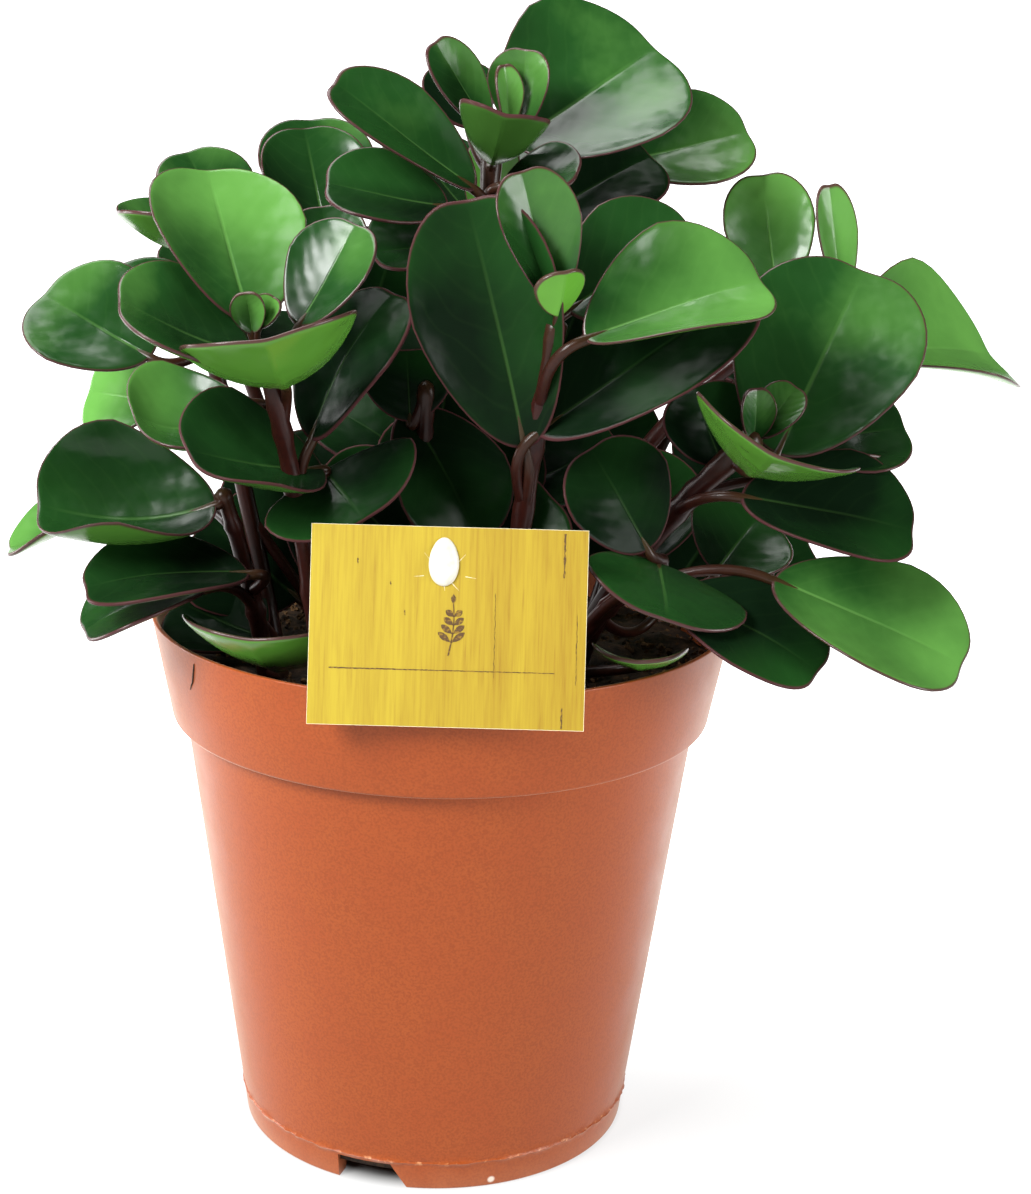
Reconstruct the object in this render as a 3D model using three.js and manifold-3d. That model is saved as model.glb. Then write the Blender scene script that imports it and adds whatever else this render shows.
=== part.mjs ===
// Potted peperomia: leafy stems standing in peat, in a 12 cm moulded nursery pot, with a card on a
// plastic stake. Millimetres, +Z up, front towards -Y. The sizes below are measured from the pot's axis.
import * as THREE from "three";
import { mergeVertices } from "three/addons/utils/BufferGeometryUtils.js";
import Module from "manifold-3d";

const wasm = await Module();
wasm.setup();

// Pot
const rimRadius = 60;
const potHeight = 112.3;
const wall = 1;
const bandHeight = 21.5;
const bandFootRadius = 55.9;
const bodyTopRadius = 53.2;
const footRadius = 41;
const footRingWidth = 4;
const floorLift = 2;
const floorThickness = 1.4;
const footChamfer = 0.5;
const bandEdge = 0.5;
const rimEdge = 0.3;
const shelfLow = 0.4;
const shelfHigh = 1.6;
const seamHeight = 6.3;
const seamProud = 0.4;
const seamHalf = 0.3;
const seamSpread = 0.8;
const notchCount = 3;
const notchTurn = -18;
const notchTop = 11.5;
const notchFlare = 2.5;
const notchDepth = 10;
const notchInset = 7.2;
const drainHoleRadius = 4;
const drainHoleCircle = 22;
const drainHoleSides = 12;
const potSides = 44;

// Peat
const soilDrop = 10.5;
const soilCrown = 1.5;
const soilEdgeDrop = 0.8;
const soilRings = [
  [0.86, 0],
  [0.6, 0.5],
  [0.3, 0.9],
  [0, 1],
];
const soilWave = 0.7;
const soilGap = 0.5;
const soilSides = 24;
const holeSides = 8;
const holePlay = 0.3;
const fitGap = 0.35;

// Card and its stake
const cardWidth = 50.6;
const cardHeight = 36.6;
const cardThickness = 0.6;
const cardLean = 16.1;
const cardMiddleX = 2.8;
const cardGap = 0.4;
const cardAboveRim = 0.35;
const nubWidth = 4.6;
const nubHeight = 8;
const nubReach = 1.6;
const nubDrop = 6.4;
const nubShift = 1;
const nubLength = 5.2;
const nubSides = 20;
const stakeWidth = 6;
const stakeThickness = 1.3;
const stakeLean = 4.3;
const stakeFootZ = 50;
const stakeRise = 3;
const stakeBehind = 2.6;
const cutter = 100;

// Leafy stems
const bladeThickness = 1.2;
const bladeSpokes = 12;
const smallBlade = 18;
const smallBladeSpokes = 8;
const bladeRings = [0.55, 1];
const bladeWidest = 0.56;
const bladeNotch = 0.08;
const bladeNotchTurn = 0.3;
const bladeBlunt = 0.9;
const bladeWedge = 0.2;
const foldAtFoot = 1.2;
const foldFall = 0.8;
const stalkSides = 4;
const stalkSteps = 3;
const stalkSink = 3;
const stalkRun = 0.45;
const stalkThin = 0.5;
const stalkThick = 1.35;
const stalkPerWidth = 0.035;
const stemSides = 6;
const stemSteps = 6;
const stemBuried = 18;
const joinTolerance = 0.1;

const terracotta = new THREE.MeshStandardMaterial({ color: "#bd5f3c", roughness: 0.38, metalness: 0 });
const peat = new THREE.MeshStandardMaterial({ color: "#241a14", roughness: 0.95, metalness: 0 });
const leafGreen = new THREE.MeshStandardMaterial({ color: "#2f6a3a", roughness: 0.32, metalness: 0 });
const cardStock = new THREE.MeshStandardMaterial({ color: "#dcc044", roughness: 0.5, metalness: 0 });
const whitePlastic = new THREE.MeshStandardMaterial({ color: "#f0efe8", roughness: 0.4, metalness: 0 });

const radians = THREE.MathUtils.degToRad;
const point = (xyz) => new THREE.Vector3(...xyz);

function solidOf(geometry) {
  const bare = geometry.clone();
  bare.deleteAttribute("normal");
  bare.deleteAttribute("uv");
  const merged = mergeVertices(bare, 1e-3);
  const vertProperties = new Float32Array(merged.attributes.position.array);
  const triVerts = new Uint32Array(merged.index.array);
  return new wasm.Manifold(new wasm.Mesh({ numProp: 3, vertProperties, triVerts }));
}

function geometryOf(solid) {
  const mesh = solid.getMesh();
  const geometry = new THREE.BufferGeometry();
  geometry.setAttribute("position", new THREE.BufferAttribute(mesh.vertProperties, 3));
  geometry.setIndex(new THREE.BufferAttribute(mesh.triVerts, 1));
  geometry.computeVertexNormals();
  return geometry;
}

function meshOf(name, solid, material) {
  const mesh = new THREE.Mesh(geometryOf(solid), material);
  mesh.name = name;
  return mesh;
}

// The profile runs from the axis, round the outside and back to the axis, as [radius, height] pairs.
function turned(profile, sides) {
  const points = profile.map(([radius, height]) => new THREE.Vector2(radius, height));
  return new THREE.LatheGeometry(points, sides).rotateX(Math.PI / 2);
}

function tube(path, radius, sides, steps) {
  const ring = [];
  for (let i = 0; i < sides; i++) {
    const angle = (i / sides) * 2 * Math.PI;
    ring.push(new THREE.Vector2(radius * Math.cos(angle), radius * Math.sin(angle)));
  }
  const shape = new THREE.Shape(ring);
  return solidOf(new THREE.ExtrudeGeometry(shape, { steps, extrudePath: path, bevelEnabled: false }));
}

function block(width, depth, height) {
  return new THREE.BoxGeometry(width, depth, height);
}

// Radius of the pot's outside at a height under the band.
const bodyBandZ = potHeight - bandHeight;
const bodyRadiusAt = (z) => footRadius + ((bodyTopRadius - footRadius) * z) / bodyBandZ;

// The pot stands on a ring under its wall. Three notches open the ring and the corner of the floor, to drain.
function makePot() {
  const floorTop = floorLift + floorThickness;
  const seamRadius = bodyRadiusAt(seamHeight) + seamProud;
  const shell = solidOf(
    turned(
      [
        [0, floorLift],
        [footRadius - footRingWidth, floorLift],
        [footRadius - footRingWidth + footChamfer, 0],
        [footRadius, 0],
        [bodyRadiusAt(seamHeight - seamSpread), seamHeight - seamSpread],
        [seamRadius, seamHeight - seamHalf],
        [seamRadius, seamHeight + seamHalf],
        [bodyRadiusAt(seamHeight + seamSpread), seamHeight + seamSpread],
        [bodyTopRadius, bodyBandZ - bandEdge],
        [bandFootRadius - bandEdge, bodyBandZ],
        [bandFootRadius, bodyBandZ + bandEdge],
        [rimRadius, potHeight - rimEdge],
        [rimRadius - rimEdge, potHeight],
        [rimRadius - wall + rimEdge, potHeight],
        [rimRadius - wall, potHeight - rimEdge],
        [bandFootRadius - wall, bodyBandZ + shelfHigh],
        [bodyTopRadius - wall, bodyBandZ + shelfLow],
        [bodyRadiusAt(floorTop) - wall, floorTop],
        [0, floorTop],
      ],
      potSides,
    ),
  );
  const cuts = [];
  const half = notchTop / 2;
  const ceiling = seamHeight - seamSpread;
  const outline = new THREE.Shape([
    new THREE.Vector2(-half, -ceiling),
    new THREE.Vector2(half + 2 * notchFlare, -ceiling),
    new THREE.Vector2(half, ceiling),
    new THREE.Vector2(-half, ceiling),
  ]);
  for (let i = 0; i < notchCount; i++) {
    const notch = new THREE.ExtrudeGeometry(outline, { depth: notchDepth, bevelEnabled: false });
    notch.rotateX(Math.PI / 2).translate(0, -footRadius + notchInset, 0);
    notch.rotateZ(radians(notchTurn + (360 / notchCount) * i));
    cuts.push(solidOf(notch));
    const hole = new THREE.CylinderGeometry(drainHoleRadius, drainHoleRadius, notchDepth, drainHoleSides);
    hole.rotateX(Math.PI / 2).translate(0, -drainHoleCircle, 0);
    hole.rotateZ(radians(notchTurn + (360 / notchCount) * (i + 0.5)));
    cuts.push(solidOf(hole));
  }
  return shell.subtract(wasm.Manifold.union(cuts));
}

// Peat fills the pot to a slightly crowned, uneven top. The rings of its top are shares of the radius and of
// the crown. Its gap to the pot clears the flats of both turned solids.
const soilZ = potHeight - soilDrop;
function makeSoil(holes) {
  const floorTop = floorLift + floorThickness + fitGap;
  const inside = (z) => bodyRadiusAt(z) - wall - soilGap;
  const topRadius = bandFootRadius + ((rimRadius - bandFootRadius) * (soilZ - bodyBandZ)) / bandHeight;
  const edge = topRadius - wall - soilGap;
  const body = turned(
    [
      [0, floorTop],
      [inside(floorTop), floorTop],
      [inside(bodyBandZ), bodyBandZ + shelfLow],
      [bandFootRadius - wall - soilGap, bodyBandZ + shelfHigh + fitGap],
      [edge, soilZ - soilEdgeDrop],
      ...soilRings.map(([share, rise]) => [edge * share, soilZ + rise * soilCrown]),
    ],
    soilSides,
  );
  const spots = body.attributes.position;
  for (let i = 0; i < spots.count; i++) {
    const [x, y, z] = [spots.getX(i), spots.getY(i), spots.getZ(i)];
    if (z > soilZ - fitGap && Math.hypot(x, y) > 1) {
      spots.setZ(i, z + soilWave * Math.sin(0.21 * x + 1) * Math.cos(0.17 * y));
    }
  }
  return solidOf(body).subtract(wasm.Manifold.union(holes));
}

// The card leans back over the rim; its hole lets the nub of the stake through.
const cardCentreZ = potHeight + cardAboveRim * cardHeight;
const cardRestY = -rimRadius - cardThickness - cardGap;
const cardCentreY = cardRestY + (cardCentreZ - potHeight) * Math.tan(radians(cardLean));
const nubZ = cardCentreZ + (cardHeight / 2 - nubDrop) * Math.cos(radians(cardLean));
const nubY = cardCentreY + (nubZ - cardCentreZ) * Math.tan(radians(cardLean));
const nubX = cardMiddleX - nubShift;

function nubSolid(grow, depth) {
  const egg = new THREE.CylinderGeometry(1, 1, depth, nubSides);
  egg.scale(nubWidth / 2 + grow, 1, nubHeight / 2 + grow).rotateX(radians(-cardLean));
  return solidOf(egg.translate(nubX, nubY, nubZ));
}

function makeCard() {
  const sheet = block(cardWidth, cardThickness, cardHeight).rotateX(radians(-cardLean));
  sheet.translate(cardMiddleX, cardCentreY, cardCentreZ);
  return solidOf(sheet).subtract(nubSolid(fitGap, cutter));
}

function stakeBlock(grow, top) {
  const length = top - stakeFootZ + 2 * grow;
  const strip = block(stakeWidth + 2 * grow, stakeThickness + 2 * grow, length);
  strip.translate(0, 0, -length / 2 + grow);
  const atTop = (top - nubZ) * Math.tan(radians(stakeLean));
  return solidOf(strip.rotateX(radians(stakeLean)).translate(nubX, nubY + stakeBehind - atTop, top));
}

function makeStake() {
  const keep = block(cutter, cutter, cutter).rotateX(radians(-cardLean));
  keep.translate(nubX, nubY + cutter / 2 - cardThickness / 2 - nubReach, nubZ);
  const nub = nubSolid(0, nubLength).intersect(solidOf(keep));
  return stakeBlock(0, nubZ + stakeRise).add(nub);
}

// A blade of unit length lies along x from its foot to its tip, y from -1 to 1 across: widest past the
// middle, narrowed to a wedge at the foot and notched at the tip.
function bladeOutline(angle) {
  const ahead = Math.cos(angle);
  const across = Math.sin(angle);
  if (ahead < 0) return [bladeWidest * (1 + ahead), across * (1 + bladeWedge * ahead)];
  const turn = Math.min(angle, 2 * Math.PI - angle);
  const notch = bladeNotch * Math.exp(-((turn / bladeNotchTurn) ** 2));
  return [bladeWidest + (1 - bladeWidest) * (ahead ** bladeBlunt - notch), across];
}

// base and tip are the two ends of the midrib, and up is roughly where the upper face looks. Each half
// rises from the midrib by fold degrees, most at the foot, and bends up by curl more to the margin. The
// midrib hangs sag below its chord.
function bladeSolid({ base, tip, wide, up, fold, curl, sag }) {
  const spokes = wide < smallBlade ? smallBladeSpokes : bladeSpokes;
  const length = tip.distanceTo(base);
  const along = tip.clone().sub(base).normalize();
  const face = up.clone().addScaledVector(along, -up.dot(along)).normalize();
  const side = face.clone().cross(along);
  const spots = [];
  const place = (ring, angle, lift) => {
    const [x, y] = bladeOutline(angle);
    const s = bladeWidest + ring * (x - bladeWidest);
    const reach = (Math.abs(ring * y) * wide) / 2;
    const rise = radians(fold * (foldAtFoot - foldFall * s) + (curl / 2) * Math.abs(ring * y));
    const height = reach * Math.sin(rise) - 4 * sag * s * (1 - s) + lift;
    const out = Math.sign(y) * reach * Math.cos(rise);
    const spot = base.clone().addScaledVector(along, s * length);
    spots.push(...spot.addScaledVector(side, out).addScaledVector(face, height).toArray());
  };
  for (const lift of [bladeThickness / 2, -bladeThickness / 2]) {
    place(0, 0, lift);
    for (const ring of bladeRings) {
      for (let k = 0; k < spokes; k++) place(ring, (k / spokes) * 2 * Math.PI, lift);
    }
  }
  const perFace = 1 + bladeRings.length * spokes;
  const faces = [];
  for (let k = 0; k < spokes; k++) {
    const next = (k + 1) % spokes;
    const [a, b, c, d] = [1 + k, 1 + next, 1 + spokes + next, 1 + spokes + k];
    for (const [p, q, r] of [[0, a, b], [a, d, c], [a, c, b]]) {
      faces.push(p, q, r, perFace + p, perFace + r, perFace + q);
    }
    faces.push(d, perFace + d, perFace + c, d, perFace + c, c);
  }
  const geometry = new THREE.BufferGeometry();
  geometry.setAttribute("position", new THREE.Float32BufferAttribute(spots, 3));
  geometry.setIndex(faces);
  return solidOf(geometry);
}

// One leaf: where it leaves the stem (0 at the peat, 1 at the bud), then its blade.
function leaf(at, base, tip, wide, up, fold, curl, sag) {
  return { at, base: point(base), tip: point(tip), wide, up: point(up), fold, curl, sag };
}

const shoots = [
  {
    name: "shoot_left_front",
    stem: [[-22, -28, 101], [-25, -38, 140], [-32, -44, 172]],
    thick: 2,
    leaves: [
      leaf(0.97, [-35, -40, 177], [-46, -17, 204], 32, [0.25, -0.4, 1], 18, 12, 1),
      leaf(0.95, [-26, -42, 177], [-16, -35, 196], 19, [0, -0.4, 1], 14, 12, 1),
      leaf(0.78, [-28, -46, 167], [-29, -71, 181], 35, [-0.22, 0, 1], 20, 20, 3),
      leaf(0.86, [-34, -45, 172], [-57, -54, 184], 32, [0, -0.42, 1], 12, 20, 2),
      leaf(0.62, [-22, -35, 149], [-46, -50, 156], 34, [0, -0.5, 1], 10, 34, 2),
      leaf(0.55, [-24, -38, 155], [-9, -30, 183], 25, [-1, -1, 0.6], 14, -10, -2),
      leaf(0.3, [-22, -33, 148], [-13, -50, 143], 33, [-0.5, -0.2, 1], 8, 16, 0),
      leaf(1, [-34, -45, 176], [-35, -48, 184], 8, [0, -1, 0.4], 30, 30, 1),
      leaf(1, [-33, -45, 177], [-30, -45, 183], 7, [-0.3, -1, 0.4], 30, 30, 1),
    ],
  },
  {
    name: "shoot_left_back",
    stem: [[-34, -4, 101], [-42, 0, 145], [-51, 2, 174]],
    thick: 1.9,
    leaves: [
      leaf(0.85, [-59, -6, 164], [-82, 0, 176], 30, [0, -0.75, 1], 10, 12, 1),
      leaf(0.97, [-43, 0, 188], [-54, 10, 204], 21, [0, -0.4, 1], 12, 10, 1),
      leaf(0.95, [-48, -4, 185], [-65, -8, 194], 28, [0, 0, 1], 28, 10, 2),
      leaf(0.6, [-39, -24, 159], [-59, -32, 159], 32, [0, -0.5, 1], 20, 20, 6),
      leaf(0.7, [-60, 10, 152], [-77, 18, 152], 21, [0, -1, 0.5], 10, 10, 0),
    ],
  },
  {
    name: "shoot_back_left",
    stem: [[-16, 12, 101], [-16, 20, 150], [-27, 22, 178]],
    thick: 1.9,
    leaves: [
      leaf(0.97, [-26, 18, 185], [-32, 30, 208], 24, [0, -0.3, 1], 12, 20, 1),
      leaf(0.95, [-27, 27, 185], [-32, 42, 209], 26, [0, -0.3, 1], 10, 16, 1),
      leaf(0.9, [-24, 12, 176], [-27, 16, 193], 18, [0, -1, 0.3], 16, 10, 1),
      leaf(0.8, [-19, 23, 166], [-44, 35, 177], 28, [0, 0, 1], 14, 14, 1),
      leaf(0.7, [-14, 24, 158], [-6, 52, 170], 28, [0, 0, 1], 14, 14, 1),
    ],
  },
  {
    name: "shoot_left_low",
    stem: [[-34, -20, 101], [-37, -24, 125], [-42, -28, 142]],
    thick: 1.9,
    leaves: [
      leaf(0.98, [-43, -29, 140], [-77, -37, 142], 40, [0, -0.55, 1], 8, 72, 5),
      leaf(0.8, [-64, -11, 136], [-88, -14, 126], 22, [0, -0.1, 1], 24, 10, 1),
      leaf(0.45, [-36, -35, 128], [-67, -44, 127], 26, [0, -0.27, 1], 10, 14, -1),
      leaf(0.35, [-45, -32, 124], [-68, -40, 117], 25, [0, -0.1, 1], 10, 10, -1),
      leaf(0.06, [-30, -34, 109], [-34, -54, 122], 36, [0, 0, 1], 14, 30, 2),
    ],
  },
  {
    name: "shoot_middle_low",
    stem: [[0, -22, 101], [-4, -26, 140], [-3, -28, 164]],
    thick: 1.9,
    leaves: [
      leaf(0.9, [-7, -25, 159], [8, -33, 134], 24, [0.3, -1, 0.5], 14, 10, -2),
      leaf(0.97, [-6, -28, 157], [-7, -26, 171], 18, [0, -1, 0.3], 14, 10, 0),
      leaf(0.8, [-1, -18, 149], [1, -14, 168], 24, [0, -1, 0.4], 12, 10, 1),
      leaf(0.5, [-8, -20, 130], [-24, -18, 146], 24, [0, -1, 0.6], 12, 10, 1),
      leaf(0.4, [4, -22, 124], [22, -20, 142], 26, [0, -1, 0.6], 12, 10, 1),
    ],
  },
  {
    name: "shoot_top",
    stem: [[3, -4, 101], [6, -6, 160], [8, 0, 206]],
    thick: 2.2,
    leaves: [
      leaf(0.99, [12, 2, 207], [41, 16, 227], 44, [-0.3, -1, 0.65], 16, 10, 1),
      leaf(1, [7, 6, 210], [-4, 4, 227], 12, [0.3, -0.9, 0.6], 16, 14, 1),
      leaf(0.95, [8, -3, 204], [11, -23, 216], 22, [0.2, 0, 1], 30, 30, 3),
      leaf(1, [13, 1, 210], [14, 0, 226], 15, [-0.4, -1, 0.2], 26, 20, 1),
      leaf(1, [11, 0, 210], [10, -2, 223], 7, [0.5, -1, 0.4], 30, 20, 0),
      leaf(0.86, [5, -7, 199], [-23, -10, 220], 20, [0.4, -0.8, 0.7], 34, 10, 1),
      leaf(0.84, [0, -12, 196], [-24, -16, 201], 22, [0, -0.7, 1], 12, 16, 1),
      leaf(0.74, [4, -12, 190], [-15, -18, 188], 25, [0, -0.4, 1], 12, 16, 1),
      leaf(0.9, [10, -7, 200], [25, -14, 204], 18, [0, -0.6, 1], 22, 16, 1),
      leaf(0.85, [19, 6, 193], [41, 16, 205], 27, [0, -0.8, 1], 10, 10, 0),
      leaf(0.85, [34, 16, 203], [61, 22, 210], 27, [0, -0.9, 1], 10, 10, 1),
      leaf(0.95, [3, 14, 209], [-1, 24, 222], 16, [0, -0.5, 1], 12, 10, 1),
      leaf(0.35, [-2, -6, 142], [-26, 6, 154], 24, [0, -0.6, 1], 12, 10, 0),
      leaf(0.3, [10, -4, 136], [36, 2, 148], 28, [0, -0.6, 1], 12, 10, 0),
      leaf(0.55, [2, 2, 160], [-14, 26, 172], 28, [0, 0, 1], 12, 10, 0),
      leaf(0.6, [9, 2, 166], [22, 28, 180], 28, [0, 0, 1], 12, 10, 0),
    ],
  },
  {
    name: "shoot_front",
    stem: [[12, -30, 101], [15, -36, 140], [21, -50, 180]],
    thick: 2,
    leaves: [
      leaf(0.52, [16, -44, 156], [4, -50, 203], 31, [-0.25, -1, 0.3], 24, 16, 2),
      leaf(1, [21, -52, 184], [14, -52, 208], 18, [0.35, -1, 0.1], 34, 20, 2),
      leaf(0.97, [21, -52, 182], [22, -57, 191], 10, [0, -0.3, 1], 10, 10, 0),
      leaf(0.8, [26, -53, 178], [59, -44, 189], 32, [-0.3, -1, 1.1], 36, 8, 0),
      leaf(0.7, [23, -41, 181], [47, -28, 196], 27, [0, -1, 0.8], 12, 10, 0),
      leaf(0.55, [18, -45, 159], [57, -41, 187], 25, [-0.2, -1, 0.8], 12, 10, 0),
    ],
  },
  {
    name: "shoot_right",
    stem: [[27, -12, 101], [31, -18, 125], [59, -34, 157]],
    thick: 2.5,
    leaves: [
      leaf(0.97, [64, -30, 153], [81, -14, 188], 38, [-0.2, -1, 0.5], 10, 12, 1),
      leaf(0.93, [58, -40, 152], [60, -66, 162], 36, [0.42, 0, 1], 24, 16, 2),
      leaf(0.9, [67, -22, 154], [91, -18, 157], 26, [0, -0.7, 1], 10, 14, 1),
      leaf(0.8, [67, -24, 148], [88, -18, 150], 16, [0, 0.3, 1], 16, 14, 1),
      leaf(0.72, [57, -36, 146], [91, -38, 141], 29, [0, -0.6, 1], 12, 16, 0),
      leaf(1, [60, -34, 157], [67, -32, 167], 10, [-0.3, -1, 0.4], 26, 10, 0),
      leaf(1, [59, -34, 156], [59, -35, 167], 8, [0.3, -1, 0.4], 26, 10, 0),
      leaf(0.8, [54, -26, 150], [48, -24, 165], 20, [0.3, -1, 0.4], 14, 10, 1),
    ],
  },
  {
    name: "shoot_right_back",
    stem: [[24, 14, 101], [34, 16, 150], [72, 10, 172]],
    thick: 1.9,
    leaves: [
      leaf(0.97, [67, 12, 177], [63, 18, 202], 20, [0, -1, 0.3], 16, 12, 1),
      leaf(1, [80, 8, 177], [76, 10, 201], 10, [0.3, -1, 0.2], 26, 20, 1),
      leaf(0.9, [79, -4, 168], [114, 16, 166], 41, [0, -0.6, 0.8], 35, 4, -1),
      leaf(0.7, [60, 16, 158], [70, 42, 170], 28, [0, 0, 1], 12, 12, 0),
    ],
  },
  {
    name: "shoot_right_low",
    stem: [[22, -26, 101], [24, -30, 115], [43, -32, 132]],
    thick: 2,
    leaves: [
      leaf(0.7, [64, -36, 130], [101, -46, 117], 32, [0.1, -0.55, 1], 10, 12, 0),
      leaf(0.4, [45, -38, 127], [73, -50, 116], 28, [0, -0.4, 1], 10, 10, -1),
      leaf(1, [40, -36, 135], [28, -35, 155], 23, [0.3, -1, 0.4], 12, 10, 0),
      leaf(0.97, [42, -34, 132], [43, -55, 127], 33, [0.4, -0.3, 1], 4, 6, 0),
      leaf(0.8, [55, -14, 125], [64, -8, 136], 24, [-0.2, -1, 0.6], 12, 10, 0),
      leaf(0.2, [40, -32, 111], [38, -50, 118], 20, [0, 0, 1], 14, 24, 1),
    ],
  },
  {
    name: "shoot_rear_left",
    stem: [[-30, 26, 101], [-36, 32, 135], [-48, 38, 160]],
    thick: 1.9,
    leaves: [
      leaf(0.95, [-50, 38, 161], [-78, 38, 172], 31, [0, -0.4, 1], 12, 14, 1),
      leaf(0.97, [-48, 42, 163], [-56, 66, 180], 31, [0, 0, 1], 12, 14, 1),
      leaf(0.9, [-44, 42, 154], [-28, 68, 162], 29, [0, 0, 1], 12, 14, 1),
      leaf(0.6, [-42, 36, 136], [-70, 46, 134], 29, [0, 0, 1], 12, 14, -1),
      leaf(0.5, [-36, 40, 130], [-44, 68, 130], 29, [0, 0, 1], 12, 14, -1),
      leaf(1, [-49, 38, 162], [-46, 42, 182], 15, [0, -0.5, 0.4], 24, 20, 1),
    ],
  },
  {
    name: "shoot_rear_middle",
    stem: [[4, 34, 101], [6, 40, 145], [6, 46, 184]],
    thick: 1.9,
    leaves: [
      leaf(0.97, [4, 48, 186], [-14, 62, 206], 30, [0, 0, 1], 12, 14, 1),
      leaf(0.97, [9, 48, 186], [28, 64, 204], 30, [0, 0, 1], 12, 14, 1),
      leaf(0.9, [7, 50, 178], [8, 80, 188], 31, [0, 0, 1], 12, 14, 1),
      leaf(0.6, [0, 44, 150], [-24, 62, 154], 29, [0, 0, 1], 12, 14, -1),
      leaf(0.55, [10, 44, 146], [27, 68, 150], 26, [0, 0, 1], 12, 14, -1),
      leaf(0.4, [5, 46, 134], [2, 76, 132], 30, [0, 0, 1], 12, 14, -1),
      leaf(1, [6, 46, 184], [8, 44, 206], 14, [0, 1, 0.2], 24, 20, 1),
    ],
  },
  {
    name: "shoot_rear_right",
    stem: [[32, 30, 101], [40, 36, 130], [54, 44, 154]],
    thick: 1.9,
    leaves: [
      leaf(0.95, [57, 43, 154], [86, 42, 166], 31, [0, -0.4, 1], 12, 14, 1),
      leaf(0.97, [55, 47, 156], [64, 72, 172], 31, [0, 0, 1], 12, 14, 1),
      leaf(0.9, [50, 46, 148], [44, 75, 156], 27, [0, 0, 1], 12, 14, 1),
      leaf(0.6, [50, 38, 134], [80, 48, 130], 29, [0, 0, 1], 12, 14, -1),
      leaf(0.5, [40, 40, 126], [50, 68, 124], 29, [0, 0, 1], 12, 14, -1),
      leaf(1, [54, 44, 154], [52, 46, 176], 14, [0, -0.5, 0.4], 24, 20, 1),
    ],
  },
];

// The stem's curve above the peat, with its foot run straight down into it.
function stemPath({ stem }, extra = 0) {
  const [foot, bend, top] = stem.map(point);
  const down = foot.clone().sub(bend).normalize();
  const path = new THREE.CurvePath();
  path.add(new THREE.LineCurve3(foot.clone().addScaledVector(down, stemBuried + extra), foot));
  path.add(new THREE.QuadraticBezierCurve3(foot, bend, top));
  return path;
}

function stemHole(shoot) {
  const [buried] = stemPath(shoot, fitGap).curves;
  const above = buried.v2.clone().lerp(buried.v1, -1);
  return tube(new THREE.LineCurve3(buried.v1, above), shoot.thick + fitGap + holePlay, holeSides, 1);
}

function stalkSolid(curve, { at, base, tip, wide }) {
  const start = curve.getPoint(at);
  const along = tip.clone().sub(base).normalize();
  const bend = base.clone().addScaledVector(along, -stalkRun * start.distanceTo(base));
  const end = base.clone().addScaledVector(along, stalkSink);
  const radius = Math.min(stalkThick, stalkThin + stalkPerWidth * wide);
  return tube(new THREE.QuadraticBezierCurve3(start, bend, end), radius, stalkSides, stalkSteps);
}

function makeShoot(shoot) {
  const path = stemPath(shoot);
  const solids = [tube(path, shoot.thick, stemSides, stemSteps)];
  for (const one of shoot.leaves) solids.push(bladeSolid(one), stalkSolid(path.curves[1], one));
  return wasm.Manifold.union(solids).asOriginal().simplify(joinTolerance);
}

const plant = new THREE.Group();
const holes = [...shoots.map(stemHole), stakeBlock(fitGap, nubZ)];
plant.add(meshOf("pot", makePot(), terracotta));
plant.add(meshOf("soil", makeSoil(holes), peat));
plant.add(meshOf("label_card", makeCard(), cardStock));
plant.add(meshOf("label_stake", makeStake(), whitePlastic));
for (const shoot of shoots) plant.add(meshOf(shoot.name, makeShoot(shoot), leafGreen));

// The origin is under the middle of the whole plant, on the surface that the pot stands on.
const box = new THREE.Box3().setFromObject(plant);
const middle = box.getCenter(new THREE.Vector3());
plant.position.set(-middle.x, -middle.y, -box.min.z);

export default plant;
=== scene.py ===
import math
import random

import bpy
import numpy as np
from mathutils import Matrix, Vector, noise


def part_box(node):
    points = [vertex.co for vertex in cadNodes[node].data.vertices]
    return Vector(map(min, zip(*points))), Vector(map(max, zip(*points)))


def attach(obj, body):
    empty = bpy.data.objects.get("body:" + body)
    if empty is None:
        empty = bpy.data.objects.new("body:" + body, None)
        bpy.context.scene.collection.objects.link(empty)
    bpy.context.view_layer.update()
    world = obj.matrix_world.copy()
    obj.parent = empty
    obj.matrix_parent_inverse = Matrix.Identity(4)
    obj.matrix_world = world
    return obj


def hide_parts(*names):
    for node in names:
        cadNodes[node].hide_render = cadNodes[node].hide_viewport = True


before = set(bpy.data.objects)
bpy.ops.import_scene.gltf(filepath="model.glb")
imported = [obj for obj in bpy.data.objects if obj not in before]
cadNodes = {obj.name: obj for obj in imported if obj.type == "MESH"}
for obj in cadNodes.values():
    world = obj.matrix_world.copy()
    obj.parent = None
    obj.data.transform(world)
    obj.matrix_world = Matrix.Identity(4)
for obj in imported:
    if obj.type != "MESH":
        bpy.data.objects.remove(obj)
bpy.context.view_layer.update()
mm = 0.001

# Every size below is in millimetres and measured from the pot's axis and the floor.
potLow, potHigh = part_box("pot")
potAxis = np.array([(potLow.x + potHigh.x) / 2, (potLow.y + potHigh.y) / 2, 0])
print("frame loaded, pot axis at", [round(v / mm, 2) for v in potAxis])


# Small helpers

def hexColour(code):
    parts = [int(code[i:i + 2], 16) / 255 for i in (1, 3, 5)]
    linear = [v / 12.92 if v <= 0.04045 else ((v + 0.055) / 1.055) ** 2.4 for v in parts]
    return (*linear, 1)


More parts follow.
